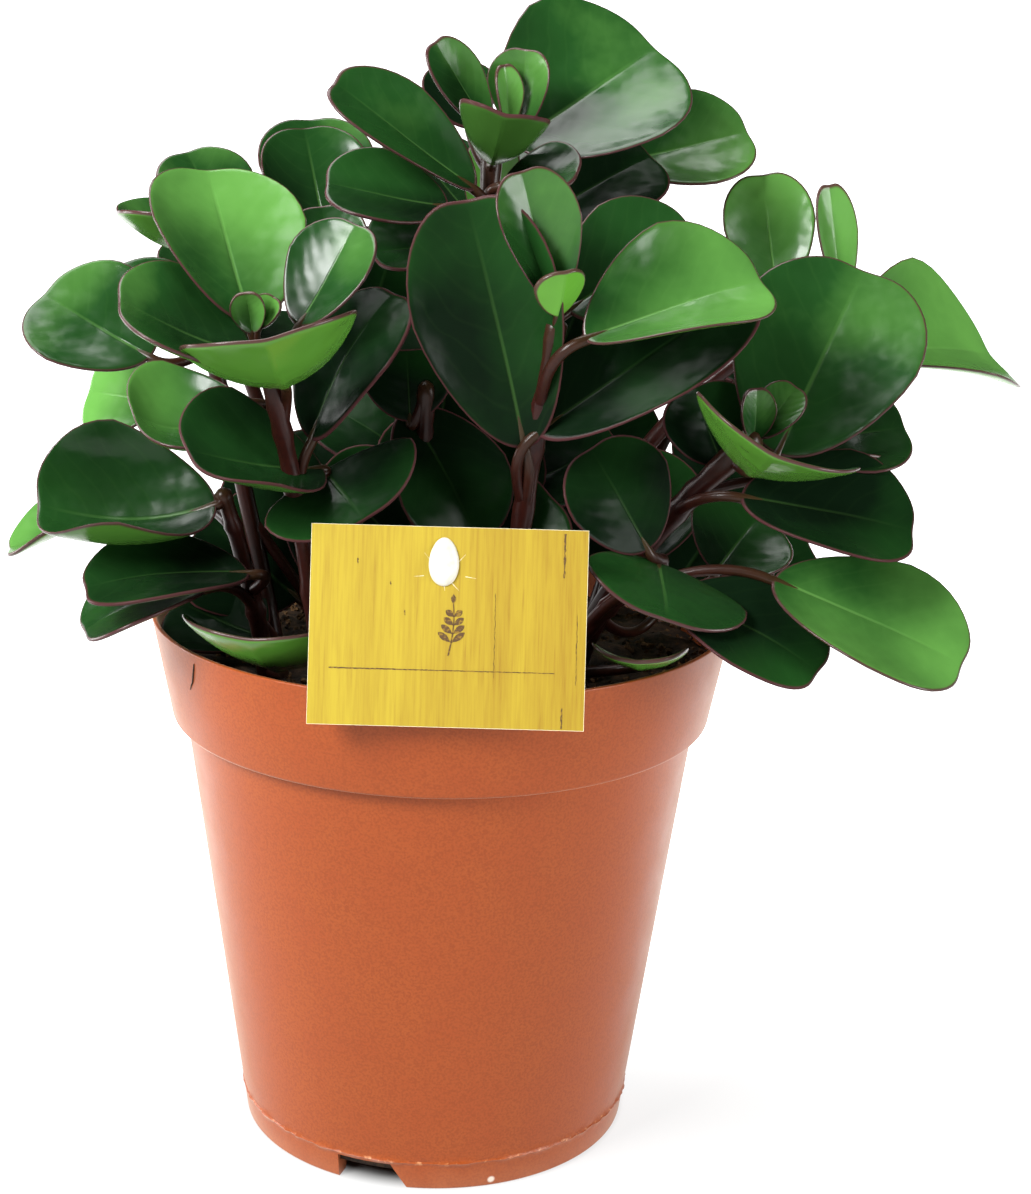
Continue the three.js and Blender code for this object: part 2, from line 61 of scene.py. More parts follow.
# Adds one node. Its inputs come in a list by their order, or in a dictionary by name or number. One given as a
# socket is linked, one given as a node is linked from that node's first output, and any other is a value.
def addNode(tree, kind, inputs=(), **settings):
    node = tree.nodes.new(kind)
    for name, value in settings.items():
        setattr(node, name, value)
    for key, value in inputs.items() if isinstance(inputs, dict) else enumerate(inputs):
        if isinstance(value, bpy.types.Node):
            value = value.outputs[0]
        if isinstance(value, bpy.types.NodeSocket):
            tree.links.new(value, node.inputs[key])
        else:
            node.inputs[key].default_value = value
    return node


# An empty material, and the place on the object for its patterns.
def newMaterial(name):
    material = bpy.data.materials.new(name)
    material.use_nodes = True
    tree = material.node_tree
    tree.nodes.clear()
    return material, tree, addNode(tree, "ShaderNodeTexCoord").outputs["Object"]


# A dull or satin material in two colours, in patches of the look's own size, with relief where it has any.
def patchyMaterial(look):
    material, tree, place = newMaterial(look["name"])
    patch = addNode(tree, "ShaderNodeTexNoise", {
        "Vector": place, "Scale": 1 / (look["patchSize"] * mm), **look["patch"]})
    share = addNode(tree, "ShaderNodeMapRange", [patch, *look["range"]])
    colour = addNode(tree, "ShaderNodeMix", {
        0: share, 6: hexColour(look["colour"]), 7: hexColour(look["patchColour"])}, data_type="RGBA")
    surface = {"Base Color": colour.outputs[2], **look["surface"]}
    if "relief" in look:
        relief = look["relief"]
        height = addNode(tree, "ShaderNodeTexNoise", {
            "Vector": place, "Scale": 1 / (relief["size"] * mm), "Detail": relief["detail"]})
        surface["Normal"] = addNode(tree, "ShaderNodeBump", {
            "Strength": relief["strength"], "Distance": relief["height"] * mm, "Height": height})
    shader = addNode(tree, "ShaderNodeBsdfPrincipled", surface)
    addNode(tree, "ShaderNodeOutputMaterial", {"Surface": shader})
    return material


def inPlace(points):
    return np.asarray(points, float) * mm + potAxis


# Turns the faces round where a closed shell would point inwards.
def facingOut(points, faces):
    spots = np.asarray(points, float)
    fans = np.array([(face[0], b, c) for face in faces for b, c in zip(face[1:-1], face[2:])])
    corners = spots[fans]
    volume = np.einsum("ij,ij->", corners[:, 0], np.cross(corners[:, 1], corners[:, 2]))
    return faces if volume > 0 else [tuple(reversed(face)) for face in faces]


def meshFrom(name, points, faces, smooth=True):
    mesh = bpy.data.meshes.new(name)
    mesh.from_pydata([tuple(p) for p in points], [], [tuple(int(i) for i in f) for f in faces])
    mesh.update()
    if smooth:
        mesh.shade_smooth()
    return mesh


def addObject(name, data):
    piece = bpy.data.objects.new(name, data)
    bpy.context.scene.collection.objects.link(piece)
    return piece


# The evaluated object as a plain mesh; its modifiers go.
def settle(piece):
    bpy.context.view_layer.update()
    seen = piece.evaluated_get(bpy.context.evaluated_depsgraph_get())
    mesh = bpy.data.meshes.new_from_object(seen)
    piece.modifiers.clear()
    piece.data = mesh


# A Geometry Nodes tree that takes and gives a mesh, with its own named inputs between.
def newGeometryTree(name, inputs):
    tree = bpy.data.node_groups.new(name, "GeometryNodeTree")
    tree.interface.new_socket("Geometry", in_out="INPUT", socket_type="NodeSocketGeometry")
    for label, kind in inputs.items():
        tree.interface.new_socket(label, in_out="INPUT", socket_type=kind)
    tree.interface.new_socket("Geometry", in_out="OUTPUT", socket_type="NodeSocketGeometry")
    return tree, addNode(tree, "NodeGroupInput").outputs


# Runs a Geometry Nodes tree on the object, its inputs set by their socket identifiers, and settles it.
def runTree(piece, tree, values):
    modifier = piece.modifiers.new(tree.name, "NODES")
    modifier.node_group = tree
    for item in tree.interface.items_tree:
        if item.in_out == "INPUT" and item.name in values:
            modifier[item.identifier] = values[item.name]
    settle(piece)


# A closed turned solid from a profile of radius and height that starts and ends on the axis.
def turnedSolid(profile, sides, radiusShift=None):
    points, rings, faces = [], [], []
    for k, (radius, height) in enumerate(profile):
        if radius == 0:
            rings.append([len(points)])
            points.append((0, 0, height))
            continue
        rings.append(list(range(len(points), len(points) + sides)))
        for i in range(sides):
            angle = 2 * math.pi * i / sides
            r = radius + (radiusShift(k, i) if radiusShift else 0)
            points.append((r * math.cos(angle), r * math.sin(angle), height))
    for low, high in zip(rings, rings[1:]):
        for i in range(sides):
            j = (i + 1) % sides
            if len(low) == 1:
                faces.append((low[0], high[j], high[i]))
            elif len(high) == 1:
                faces.append((low[i], low[j], high[0]))
            else:
                faces.append((low[i], low[j], high[j], high[i]))
    return points, facingOut(points, faces)


# A closed prism between two outlines with the same number of corners.
def prism(front, back):
    count = len(front)
    faces = [tuple(range(count)), tuple(range(2 * count - 1, count - 1, -1))]
    faces += [(k, k + count, (k + 1) % count + count, (k + 1) % count) for k in range(count)]
    points = [*front, *back]
    return points, facingOut(points, faces)


# Camera: it stands a little to the right of the pot and looks slightly down on it.
cameraSettings = {
    "place": (15, -455, 246),
    "pitchDown": 16.1,
    "roll": 1.6,
    "lens": 68.7,
    "sensor": 36,
    "nearest": 10,
    "farthest": 100000,
}


def makeCamera(s):
    pitch = math.radians(s["pitchDown"])
    roll = math.radians(s["roll"])
    ahead = Vector((0, math.cos(pitch), -math.sin(pitch)))
    level = Vector((1, 0, 0))
    above = level.cross(ahead)
    right = math.cos(roll) * level + math.sin(roll) * above
    up = math.cos(roll) * above - math.sin(roll) * level
    data = bpy.data.cameras.new("camera")
    data.lens = s["lens"]
    data.sensor_width = s["sensor"]
    data.clip_start = s["nearest"] * mm
    data.clip_end = s["farthest"] * mm
    camera = addObject("camera", data)
    turn = Matrix((right, up, -ahead)).transposed().to_4x4()
    camera.matrix_world = Matrix.Translation(Vector(inPlace(s["place"]))) @ turn
    bpy.context.scene.camera = camera


makeCamera(cameraSettings)


# Light: four softboxes in a studio whose walls are bright along the horizon and dim above it.
lightSettings = {
    "world": "#FFFFFF",
    "strength": 0.04,
    "horizonStrength": 1,
    "horizonFrom": 0.05,
    "horizonTo": 0.12,
    "boxes": (
        {"name": "softbox_left", "place": (-620, 140, 200), "size": 300, "power": 2.8, "aim": (0, 0, 100)},
        {"name": "softbox_right", "place": (600, -320, 260), "size": 300, "power": 3.9, "aim": (0, 0, 100)},
        {"name": "softbox_above", "place": (-240, 160, 800), "size": 500, "power": 5.5, "aim": (0, 0, 140)},
        {"name": "softbox_front", "place": (-500, -470, 600), "size": 340, "power": 12.6, "aim": (0, 0, 110)},
    ),
}


def makeLight(s):
    world = bpy.data.worlds.new("studio")
    world.use_nodes = True
    tree = world.node_tree
    tree.nodes.clear()
    way = addNode(tree, "ShaderNodeTexCoord").outputs["Generated"]
    rise = addNode(tree, "ShaderNodeSeparateXYZ", [way]).outputs["Z"]
    walls = addNode(tree, "ShaderNodeMapRange", [
        rise, s["horizonFrom"], s["horizonTo"], s["horizonStrength"], s["strength"]],
        interpolation_type="SMOOTHSTEP")
    sky = addNode(tree, "ShaderNodeBackground", {"Color": hexColour(s["world"]), "Strength": walls})
    addNode(tree, "ShaderNodeOutputWorld", {"Surface": sky})
    bpy.context.scene.world = world
    for box in s["boxes"]:
        data = bpy.data.lights.new(box["name"], "AREA")
        data.shape = "SQUARE"
        data.size = box["size"] * mm
        data.energy = box["power"]
        lamp = addObject(box["name"], data)
        lamp.location = inPlace(box["place"])
        aim = Vector(inPlace(box["aim"])) - lamp.location
        lamp.rotation_euler = aim.to_track_quat("-Z", "Y").to_euler()
    bpy.context.scene.view_settings.view_transform = "Standard"


makeLight(lightSettings)


# Floor: white acrylic sheet lit from below, as under a cut-out product photograph.
floorSettings = {
    "side": 40000,
    "colour": "#6E6E6D",
    "glowColour": "#FFFFFF",
    "roughness": 0.9,
    "specular": 0.2,
    "glow": 1.02,
    "shadeRadius": 36,
    "openRadius": 42.5,
    "nearGlow": 0.84,
    "nearRadius": 260,
    "farRadius": 750,
    "backGlow": 0.9,
    "backFrom": -20,
    "backTo": 120,
}


def makeFloor(s):
    half = s["side"] / 2
    corners = inPlace([(-half, -half, 0), (half, -half, 0), (half, half, 0), (-half, half, 0)])
    floor = addObject("studio_floor", meshFrom("studio_floor", corners, [(0, 1, 2, 3)], smooth=False))
    # The sheet's glow is cut to nothing under the pot's foot, a painted shadow, glows a little less round the pot,
    # where the lamps light it, and glows more behind it, a painted glow that the pot's sides reflect as pale
    # highlights.
    material, tree, place = newMaterial("lit_white_acrylic")
    away = addNode(tree, "ShaderNodeVectorMath", [place, tuple(potAxis)], operation="DISTANCE").outputs["Value"]
    depth = addNode(tree, "ShaderNodeSeparateXYZ", [place]).outputs["Y"]
    sheet = addNode(tree, "ShaderNodeMapRange", [
        away, s["nearRadius"] * mm, s["farRadius"] * mm, s["nearGlow"], s["glow"]],
        interpolation_type="SMOOTHSTEP")
    # Painted glow behind the pot, for the pot's sides to reflect as pale highlights.
    back = addNode(tree, "ShaderNodeMapRange", [
        depth, s["backFrom"] * mm, s["backTo"] * mm, 0, s["backGlow"]], interpolation_type="SMOOTHSTEP")
    sheet = addNode(tree, "ShaderNodeMath", [sheet, back], operation="ADD")
    # Painted shadow: no glow under the pot's foot, fading in towards the open radius.
    glow = addNode(tree, "ShaderNodeMapRange", [
        away, s["shadeRadius"] * mm, s["openRadius"] * mm, 0, sheet], interpolation_type="SMOOTHSTEP")
    shader = addNode(tree, "ShaderNodeBsdfPrincipled", {
        "Base Color": hexColour(s["colour"]), "Roughness": s["roughness"], "Specular IOR Level": s["specular"],
        "Emission Color": hexColour(s["glowColour"]), "Emission Strength": glow})
    addNode(tree, "ShaderNodeOutputMaterial", {"Surface": shader})
    floor.data.materials.append(material)


makeFloor(floorSettings)
print("camera, light and floor are set")


# Pot: injection-moulded polypropylene in a terracotta colour.
potSettings = {
    "height": 112.3,
    "rimRadius": 60,
    "wall": 1,
    "bandHeight": 21.5,
    "bandFootRadius": 55.9,
    "bodyTopRadius": 53.2,
    "footRadius": 41,
    "footRing": 4,
    "floorLift": 2,
    "floorThickness": 1.4,
    "seamHeight": 6.3,
    "seamProud": 0.4,
    "seamRagged": (-0.28, 0.12),
    "seed": 7,
    "sides": 240,
    "sharpAngle": 35,
    "notchTurn": -18,
    "notches": 3,
    "notchTop": 11.5,
    "notchFlare": 2.5,
    "notchDepth": 10,
    "notchInset": 7.2,
    "cutterFrom": -3,
    "drainRadius": 4,
    "drainCircle": 22,
    "drainTop": 8,
    "colour": "#964419",
    "warmColour": "#98481A",
    "deepColour": "#8B3E15",
    "flashColour": "#CF8F62",
    "dustColour": "#C98A66",
    "chipColour": "#E8D8C8",
    "chip": (13.3, -39, 1.5),
    "cloudSize": 9,
    "mottleSize": 0.5,
    "tornSize": 1.5,
    "grainSize": 0.35,
    "grainHeight": 0.05,
    "roughness": (0.3, 0.4),
    "specular": 0.3,
    "sheen": 0.42,
    "sheenColour": "#FFEACC",
}


def bodyRadiusAt(s, z):
    bandZ = s["height"] - s["bandHeight"]
    return s["footRadius"] + (s["bodyTopRadius"] - s["footRadius"]) * z / bandZ


# Rounds the corners of a profile that carry a third value, the radius of the round.
def roundedProfile(profile, steps=4):
    out = []
    for k, corner in enumerate(profile):
        if len(corner) == 2:
            out.append(corner)
            continue
        here = Vector(corner[:2])
        before = Vector(profile[k - 1][:2]) - here
        after = Vector(profile[k + 1][:2]) - here
        a = here + before.normalized() * min(corner[2], before.length * 0.45)
        b = here + after.normalized() * min(corner[2], after.length * 0.45)
        for i in range(steps + 1):
            t = i / steps
            spot = a * (1 - t) ** 2 + here * 2 * t * (1 - t) + b * t ** 2
            out.append((spot.x, spot.y))
    return out


def potMaterial(s):
    # Satin moulded plastic: a faint mottle in the colour, fine grain that softens the gloss, pale torn
    # flash along the mould seam, a little dust at the foot and a soft pale sheen at the sides.
    material, tree, place = newMaterial("moulded_polypropylene_terracotta")
    height = addNode(tree, "ShaderNodeSeparateXYZ", [place]).outputs["Z"]
    cloud = addNode(tree, "ShaderNodeTexNoise", {
        "Vector": place, "Scale": 1 / (s["cloudSize"] * mm), "Detail": 4, "Roughness": 0.6})
    # The grain is drawn a little coarser than the real one so that it shows.
    mottle, torn, grain = (addNode(tree, "ShaderNodeTexNoise", {
        "Vector": place, "Scale": 1 / (s[size] * mm), "Detail": detail})
        for size, detail in (("mottleSize", 1), ("tornSize", 3), ("grainSize", 2)))
    tint = addNode(tree, "ShaderNodeMapRange", [cloud, 0.35, 0.65])
    speck = addNode(tree, "ShaderNodeMapRange", [mottle, 0.4, 0.65])
    # Within 0.6 mm of the seam the plastic is torn and pale in flecks about 1.5 mm long.
    away = addNode(tree, "ShaderNodeMath", [height, s["seamHeight"] * mm], operation="SUBTRACT")
    away = addNode(tree, "ShaderNodeMath", [away], operation="ABSOLUTE")
    near = addNode(tree, "ShaderNodeMapRange", [away, 0.25 * mm, 0.6 * mm, 1, 0])
    fleck = addNode(tree, "ShaderNodeMapRange", [torn, 0.58, 0.7, 0, 0.8])
    flash = addNode(tree, "ShaderNodeMath", [near, fleck], operation="MULTIPLY")
    low = addNode(tree, "ShaderNodeMapRange", [height, 0, 7 * mm, 0.35, 0])
    dust = addNode(tree, "ShaderNodeMath", [low, cloud], operation="MULTIPLY")
    # One pale chip in the edge of the foot, about 1.5 mm across.
    near = addNode(tree, "ShaderNodeVectorMath", [place, tuple(inPlace(s["chip"]))], operation="DISTANCE")
    chip = addNode(tree, "ShaderNodeMapRange", [near.outputs["Value"], 0.5 * mm, 0.9 * mm, 0.9, 0])
    colour = hexColour(s["colour"])
    for share, over in ((tint, "warmColour"), (speck, "deepColour"), (flash, "flashColour"), (dust, "dustColour"),
                        (chip, "chipColour")):
        colour = addNode(tree, "ShaderNodeMix", {0: share, 6: colour, 7: hexColour(s[over])},
                         data_type="RGBA").outputs[2]
    rough = addNode(tree, "ShaderNodeMapRange", [cloud, 0.3, 0.7, *s["roughness"]])
    bump = addNode(tree, "ShaderNodeBump", {"Strength": 0.3, "Distance": s["grainHeight"] * mm, "Height": grain})
    shader = addNode(tree, "ShaderNodeBsdfPrincipled", {
        "Base Color": colour, "Roughness": rough, "IOR": 1.49, "Specular IOR Level": s["specular"],
        "Sheen Weight": s["sheen"], "Sheen Roughness": 0.3, "Sheen Tint": hexColour(s["sheenColour"]),
        "Normal": bump})
    addNode(tree, "ShaderNodeOutputMaterial", {"Surface": shader})
    return material


def makePot(s):
    bandZ = s["height"] - s["bandHeight"]
    floorTop = s["floorLift"] + s["floorThickness"]
    seamZ = s["seamHeight"]
    seamRadius = bodyRadiusAt(s, seamZ)
    ringInside = s["footRadius"] - s["footRing"]
    wall = s["wall"]
    body = [(bodyRadiusAt(s, seamZ + rise), seamZ + rise) for rise in (-1.6, -0.8, 0.8, 1.8, 5)]
    profile = roundedProfile([
        (0, s["floorLift"]),
        (ringInside, s["floorLift"], 0.4),
        (ringInside + 0.5, 0, 0.3),
        (s["footRadius"], 0, 0.5),
        *body[:2],
        (seamRadius + 0.15, seamZ - 0.35),
        (seamRadius + s["seamProud"], seamZ),
        (seamRadius + 0.2, seamZ + 0.3),
        *body[2:],
        (s["bodyTopRadius"], bandZ - 0.1, 0.6),
        (s["bandFootRadius"], bandZ + 0.1, 0.7),
        (s["rimRadius"], s["height"], 0.45),
        (s["rimRadius"] - wall, s["height"], 0.45),
        (s["bandFootRadius"] - wall, bandZ + 1.6, 0.6),
        (s["bodyTopRadius"] - wall, bandZ + 0.4, 0.6),
        (bodyRadiusAt(s, floorTop) - wall, floorTop, 0.8),
        (0, floorTop),
    ])
    seamRows = {k for k, (r, z) in enumerate(profile) if abs(z - seamZ) < 0.4 and r > s["footRadius"]}
    torn = random.Random(s["seed"])
    ragged = [torn.uniform(*s["seamRagged"]) for i in range(s["sides"])]
    points, faces = turnedSolid(profile, s["sides"], lambda k, i: ragged[i] if k in seamRows else 0)
    pot = addObject("pot_moulded", meshFrom("pot_moulded", inPlace(points), faces, smooth=False))

    # Notches in the foot ring, wider at the floor on one side, and a drain hole between each two.
    half = s["notchTop"] / 2
    below, ceiling = s["cutterFrom"], seamZ - 0.8
    back = s["notchInset"] - s["footRadius"]
    outline = ((-half, below), (half + 2 * s["notchFlare"], below), (half, ceiling), (-half, ceiling))
    notch = prism(*([(x, y, z) for x, z in outline] for y in (back - s["notchDepth"], back)))
    radius, top = s["drainRadius"], s["drainTop"]
    hole, holeFaces = turnedSolid([(0, below), (radius, below), (radius, top), (0, top)], 40)
    drain = [(x, y - s["drainCircle"], z) for x, y, z in hole], holeFaces
    cutters = []
    for i in range(s["notches"]):
        for step, (shape, sides) in ((i, notch), (i + 0.5, drain)):
            turn = Matrix.Rotation(math.radians(s["notchTurn"] + 360 / s["notches"] * step), 3, "Z")
            spots = inPlace([turn @ Vector(p) for p in shape])
            cutters.append(addObject("cutter", meshFrom("cutter", spots, sides, smooth=False)))
            cut = pot.modifiers.new("cut", "BOOLEAN")
            cut.operation = "DIFFERENCE"
            cut.solver = "EXACT"
            cut.object = cutters[-1]
    settle(pot)
    for cutter in cutters:
        bpy.data.objects.remove(cutter)
    pot.data.shade_smooth()
    pot.data.set_sharp_from_angle(angle=math.radians(s["sharpAngle"]))
    pot.data.materials.clear()
    pot.data.materials.append(potMaterial(s))
    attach(pot, "root")
    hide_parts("pot")


makePot(potSettings)
print("pot is made")


# Soil: damp peat that fills the pot, with loose crumbs on it. It is near black where damp, browner where it
# has dried, and never shines.
soilSettings = {
    "drop": 10.5,
    "gap": 0.12,
    "crown": 1.5,
    "rough": 1.1,
    "roughSize": 6.25,
    "swell": 0.7,
    "edgeDip": 0.6,
    "sides": 160,
    "rings": 34,
    "crumbSize": 1.5,
    "crumbSpread": 0.16,
    "crumbFlatness": 0.7,
    "seed": 11,
    "peat": {
        "name": "damp_peat",
        "colour": "#1C130D",
        "patchColour": "#4A3524",
        "patchSize": 3,
        "patch": {"Detail": 5, "Roughness": 0.7},
        "range": (0.42, 0.68),
        "relief": {"size": 0.8, "detail": 4, "strength": 0.8, "height": 0.5},
        "surface": {"Roughness": 0.92, "Specular IOR Level": 0.3},
    },
    "dryCrumbs": {"name": "peat_crumbs", "patchColour": "#7A5A3A"},
}


def soilHeight(s, x, y, edge):
    share = math.hypot(x, y) / edge
    height = potSettings["height"] - s["drop"] + s["crown"] * (1 - share ** 2)
    height += s["swell"] * math.sin(0.21 * x + 1) * math.cos(0.17 * y)
    height += s["rough"] * noise.fractal(Vector((x, y, 3)) / s["roughSize"], 0.7, 2.1, 4)
    return height - s["edgeDip"] * share ** 12


# Scatters small uneven crumbs over the faces of the object it runs on.
def crumbTree(material):
    tree, given = newGeometryTree("scatter_crumbs", {
        "Spread": "NodeSocketFloat", "Size": "NodeSocketFloat", "Flatness": "NodeSocketFloat",
        "Seed": "NodeSocketInt"})
    dots = addNode(tree, "GeometryNodeDistributePointsOnFaces", {
        "Mesh": given["Geometry"], "Density": given["Spread"], "Seed": given["Seed"]})
    ball = addNode(tree, "GeometryNodeMeshIcoSphere", {"Radius": 0.5, "Subdivisions": 2})
    spot = addNode(tree, "GeometryNodeInputPosition")
    lump = addNode(tree, "ShaderNodeTexNoise", {"Vector": spot, "Scale": 2.3, "Detail": 1})
    rise = addNode(tree, "ShaderNodeMapRange", [lump, 0.3, 0.7, 0.55, 1.3])
    bulge = addNode(tree, "ShaderNodeVectorMath", {0: spot, "Scale": rise}, operation="SCALE")
    crumb = addNode(tree, "GeometryNodeSetPosition", {"Geometry": ball, "Position": bulge})
    turn = addNode(tree, "FunctionNodeRandomValue", {0: (0, 0, 0), 1: (6.28, 6.28, 6.28), "Seed": given["Seed"]},
                   data_type="FLOAT_VECTOR")
    grow = addNode(tree, "FunctionNodeRandomValue", {2: 0.35, 3: 1.25, "Seed": given["Seed"]}, data_type="FLOAT")
    wide = addNode(tree, "ShaderNodeMath", [grow.outputs[1], given["Size"]], operation="MULTIPLY")
    flat = addNode(tree, "ShaderNodeMath", [wide, given["Flatness"]], operation="MULTIPLY")
    size = addNode(tree, "ShaderNodeCombineXYZ", [wide, wide, flat])
    many = addNode(tree, "GeometryNodeInstanceOnPoints", {
        "Points": dots, "Instance": crumb, "Rotation": turn, "Scale": size})
    real = addNode(tree, "GeometryNodeRealizeInstances", [many])
    done = addNode(tree, "GeometryNodeSetMaterial", {"Geometry": real, "Material": material})
    addNode(tree, "NodeGroupOutput", [done])
    return tree


def makeSoil(s):
    p = potSettings
    bandZ = p["height"] - p["bandHeight"]
    inside = p["wall"] + s["gap"]
    floorTop = p["floorLift"] + p["floorThickness"] + s["gap"]
    soilZ = p["height"] - s["drop"]
    wallAt = p["bandFootRadius"] + (p["rimRadius"] - p["bandFootRadius"]) * (soilZ - bandZ) / p["bandHeight"]
    edge = wallAt - inside
    profile = [(0, floorTop), (bodyRadiusAt(p, floorTop) - inside - 0.4, floorTop),
               (p["bodyTopRadius"] - inside, bandZ + 0.2), (p["bandFootRadius"] - inside, bandZ + 1.9),
               (edge - 0.15, soilZ - 1.5)]
    profile += [(edge * (1 - k / s["rings"]), soilZ) for k in range(s["rings"])] + [(0, soilZ)]
    points, faces = turnedSolid(profile, s["sides"])
    shaped = [(x, y, soilHeight(s, x, y, edge) if z == soilZ else z) for x, y, z in points]
    soil = addObject("peat", meshFrom("peat", inPlace(shaped), faces))
    soil.data.materials.append(patchyMaterial(s["peat"]))
    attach(soil, "root")
    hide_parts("soil")

    topPoints, topFaces = turnedSolid([(edge - 1.5, 0), (edge * 0.7, 0), (edge * 0.4, 0), (edge * 0.1, 0)], 60)
    onTop = [(x, y, soilHeight(s, x, y, edge) + 0.2) for x, y, z in topPoints]
    loose = addObject("peat_crumbs", meshFrom("peat_crumbs", inPlace(onTop), topFaces))
    runTree(loose, crumbTree(patchyMaterial({**s["peat"], **s["dryCrumbs"]})), {
        "Spread": s["crumbSpread"] / mm ** 2, "Size": s["crumbSize"] * mm, "Flatness": s["crumbFlatness"],
        "Seed": s["seed"]})
    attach(loose, "root")


makeSoil(soilSettings)
print("soil is made")
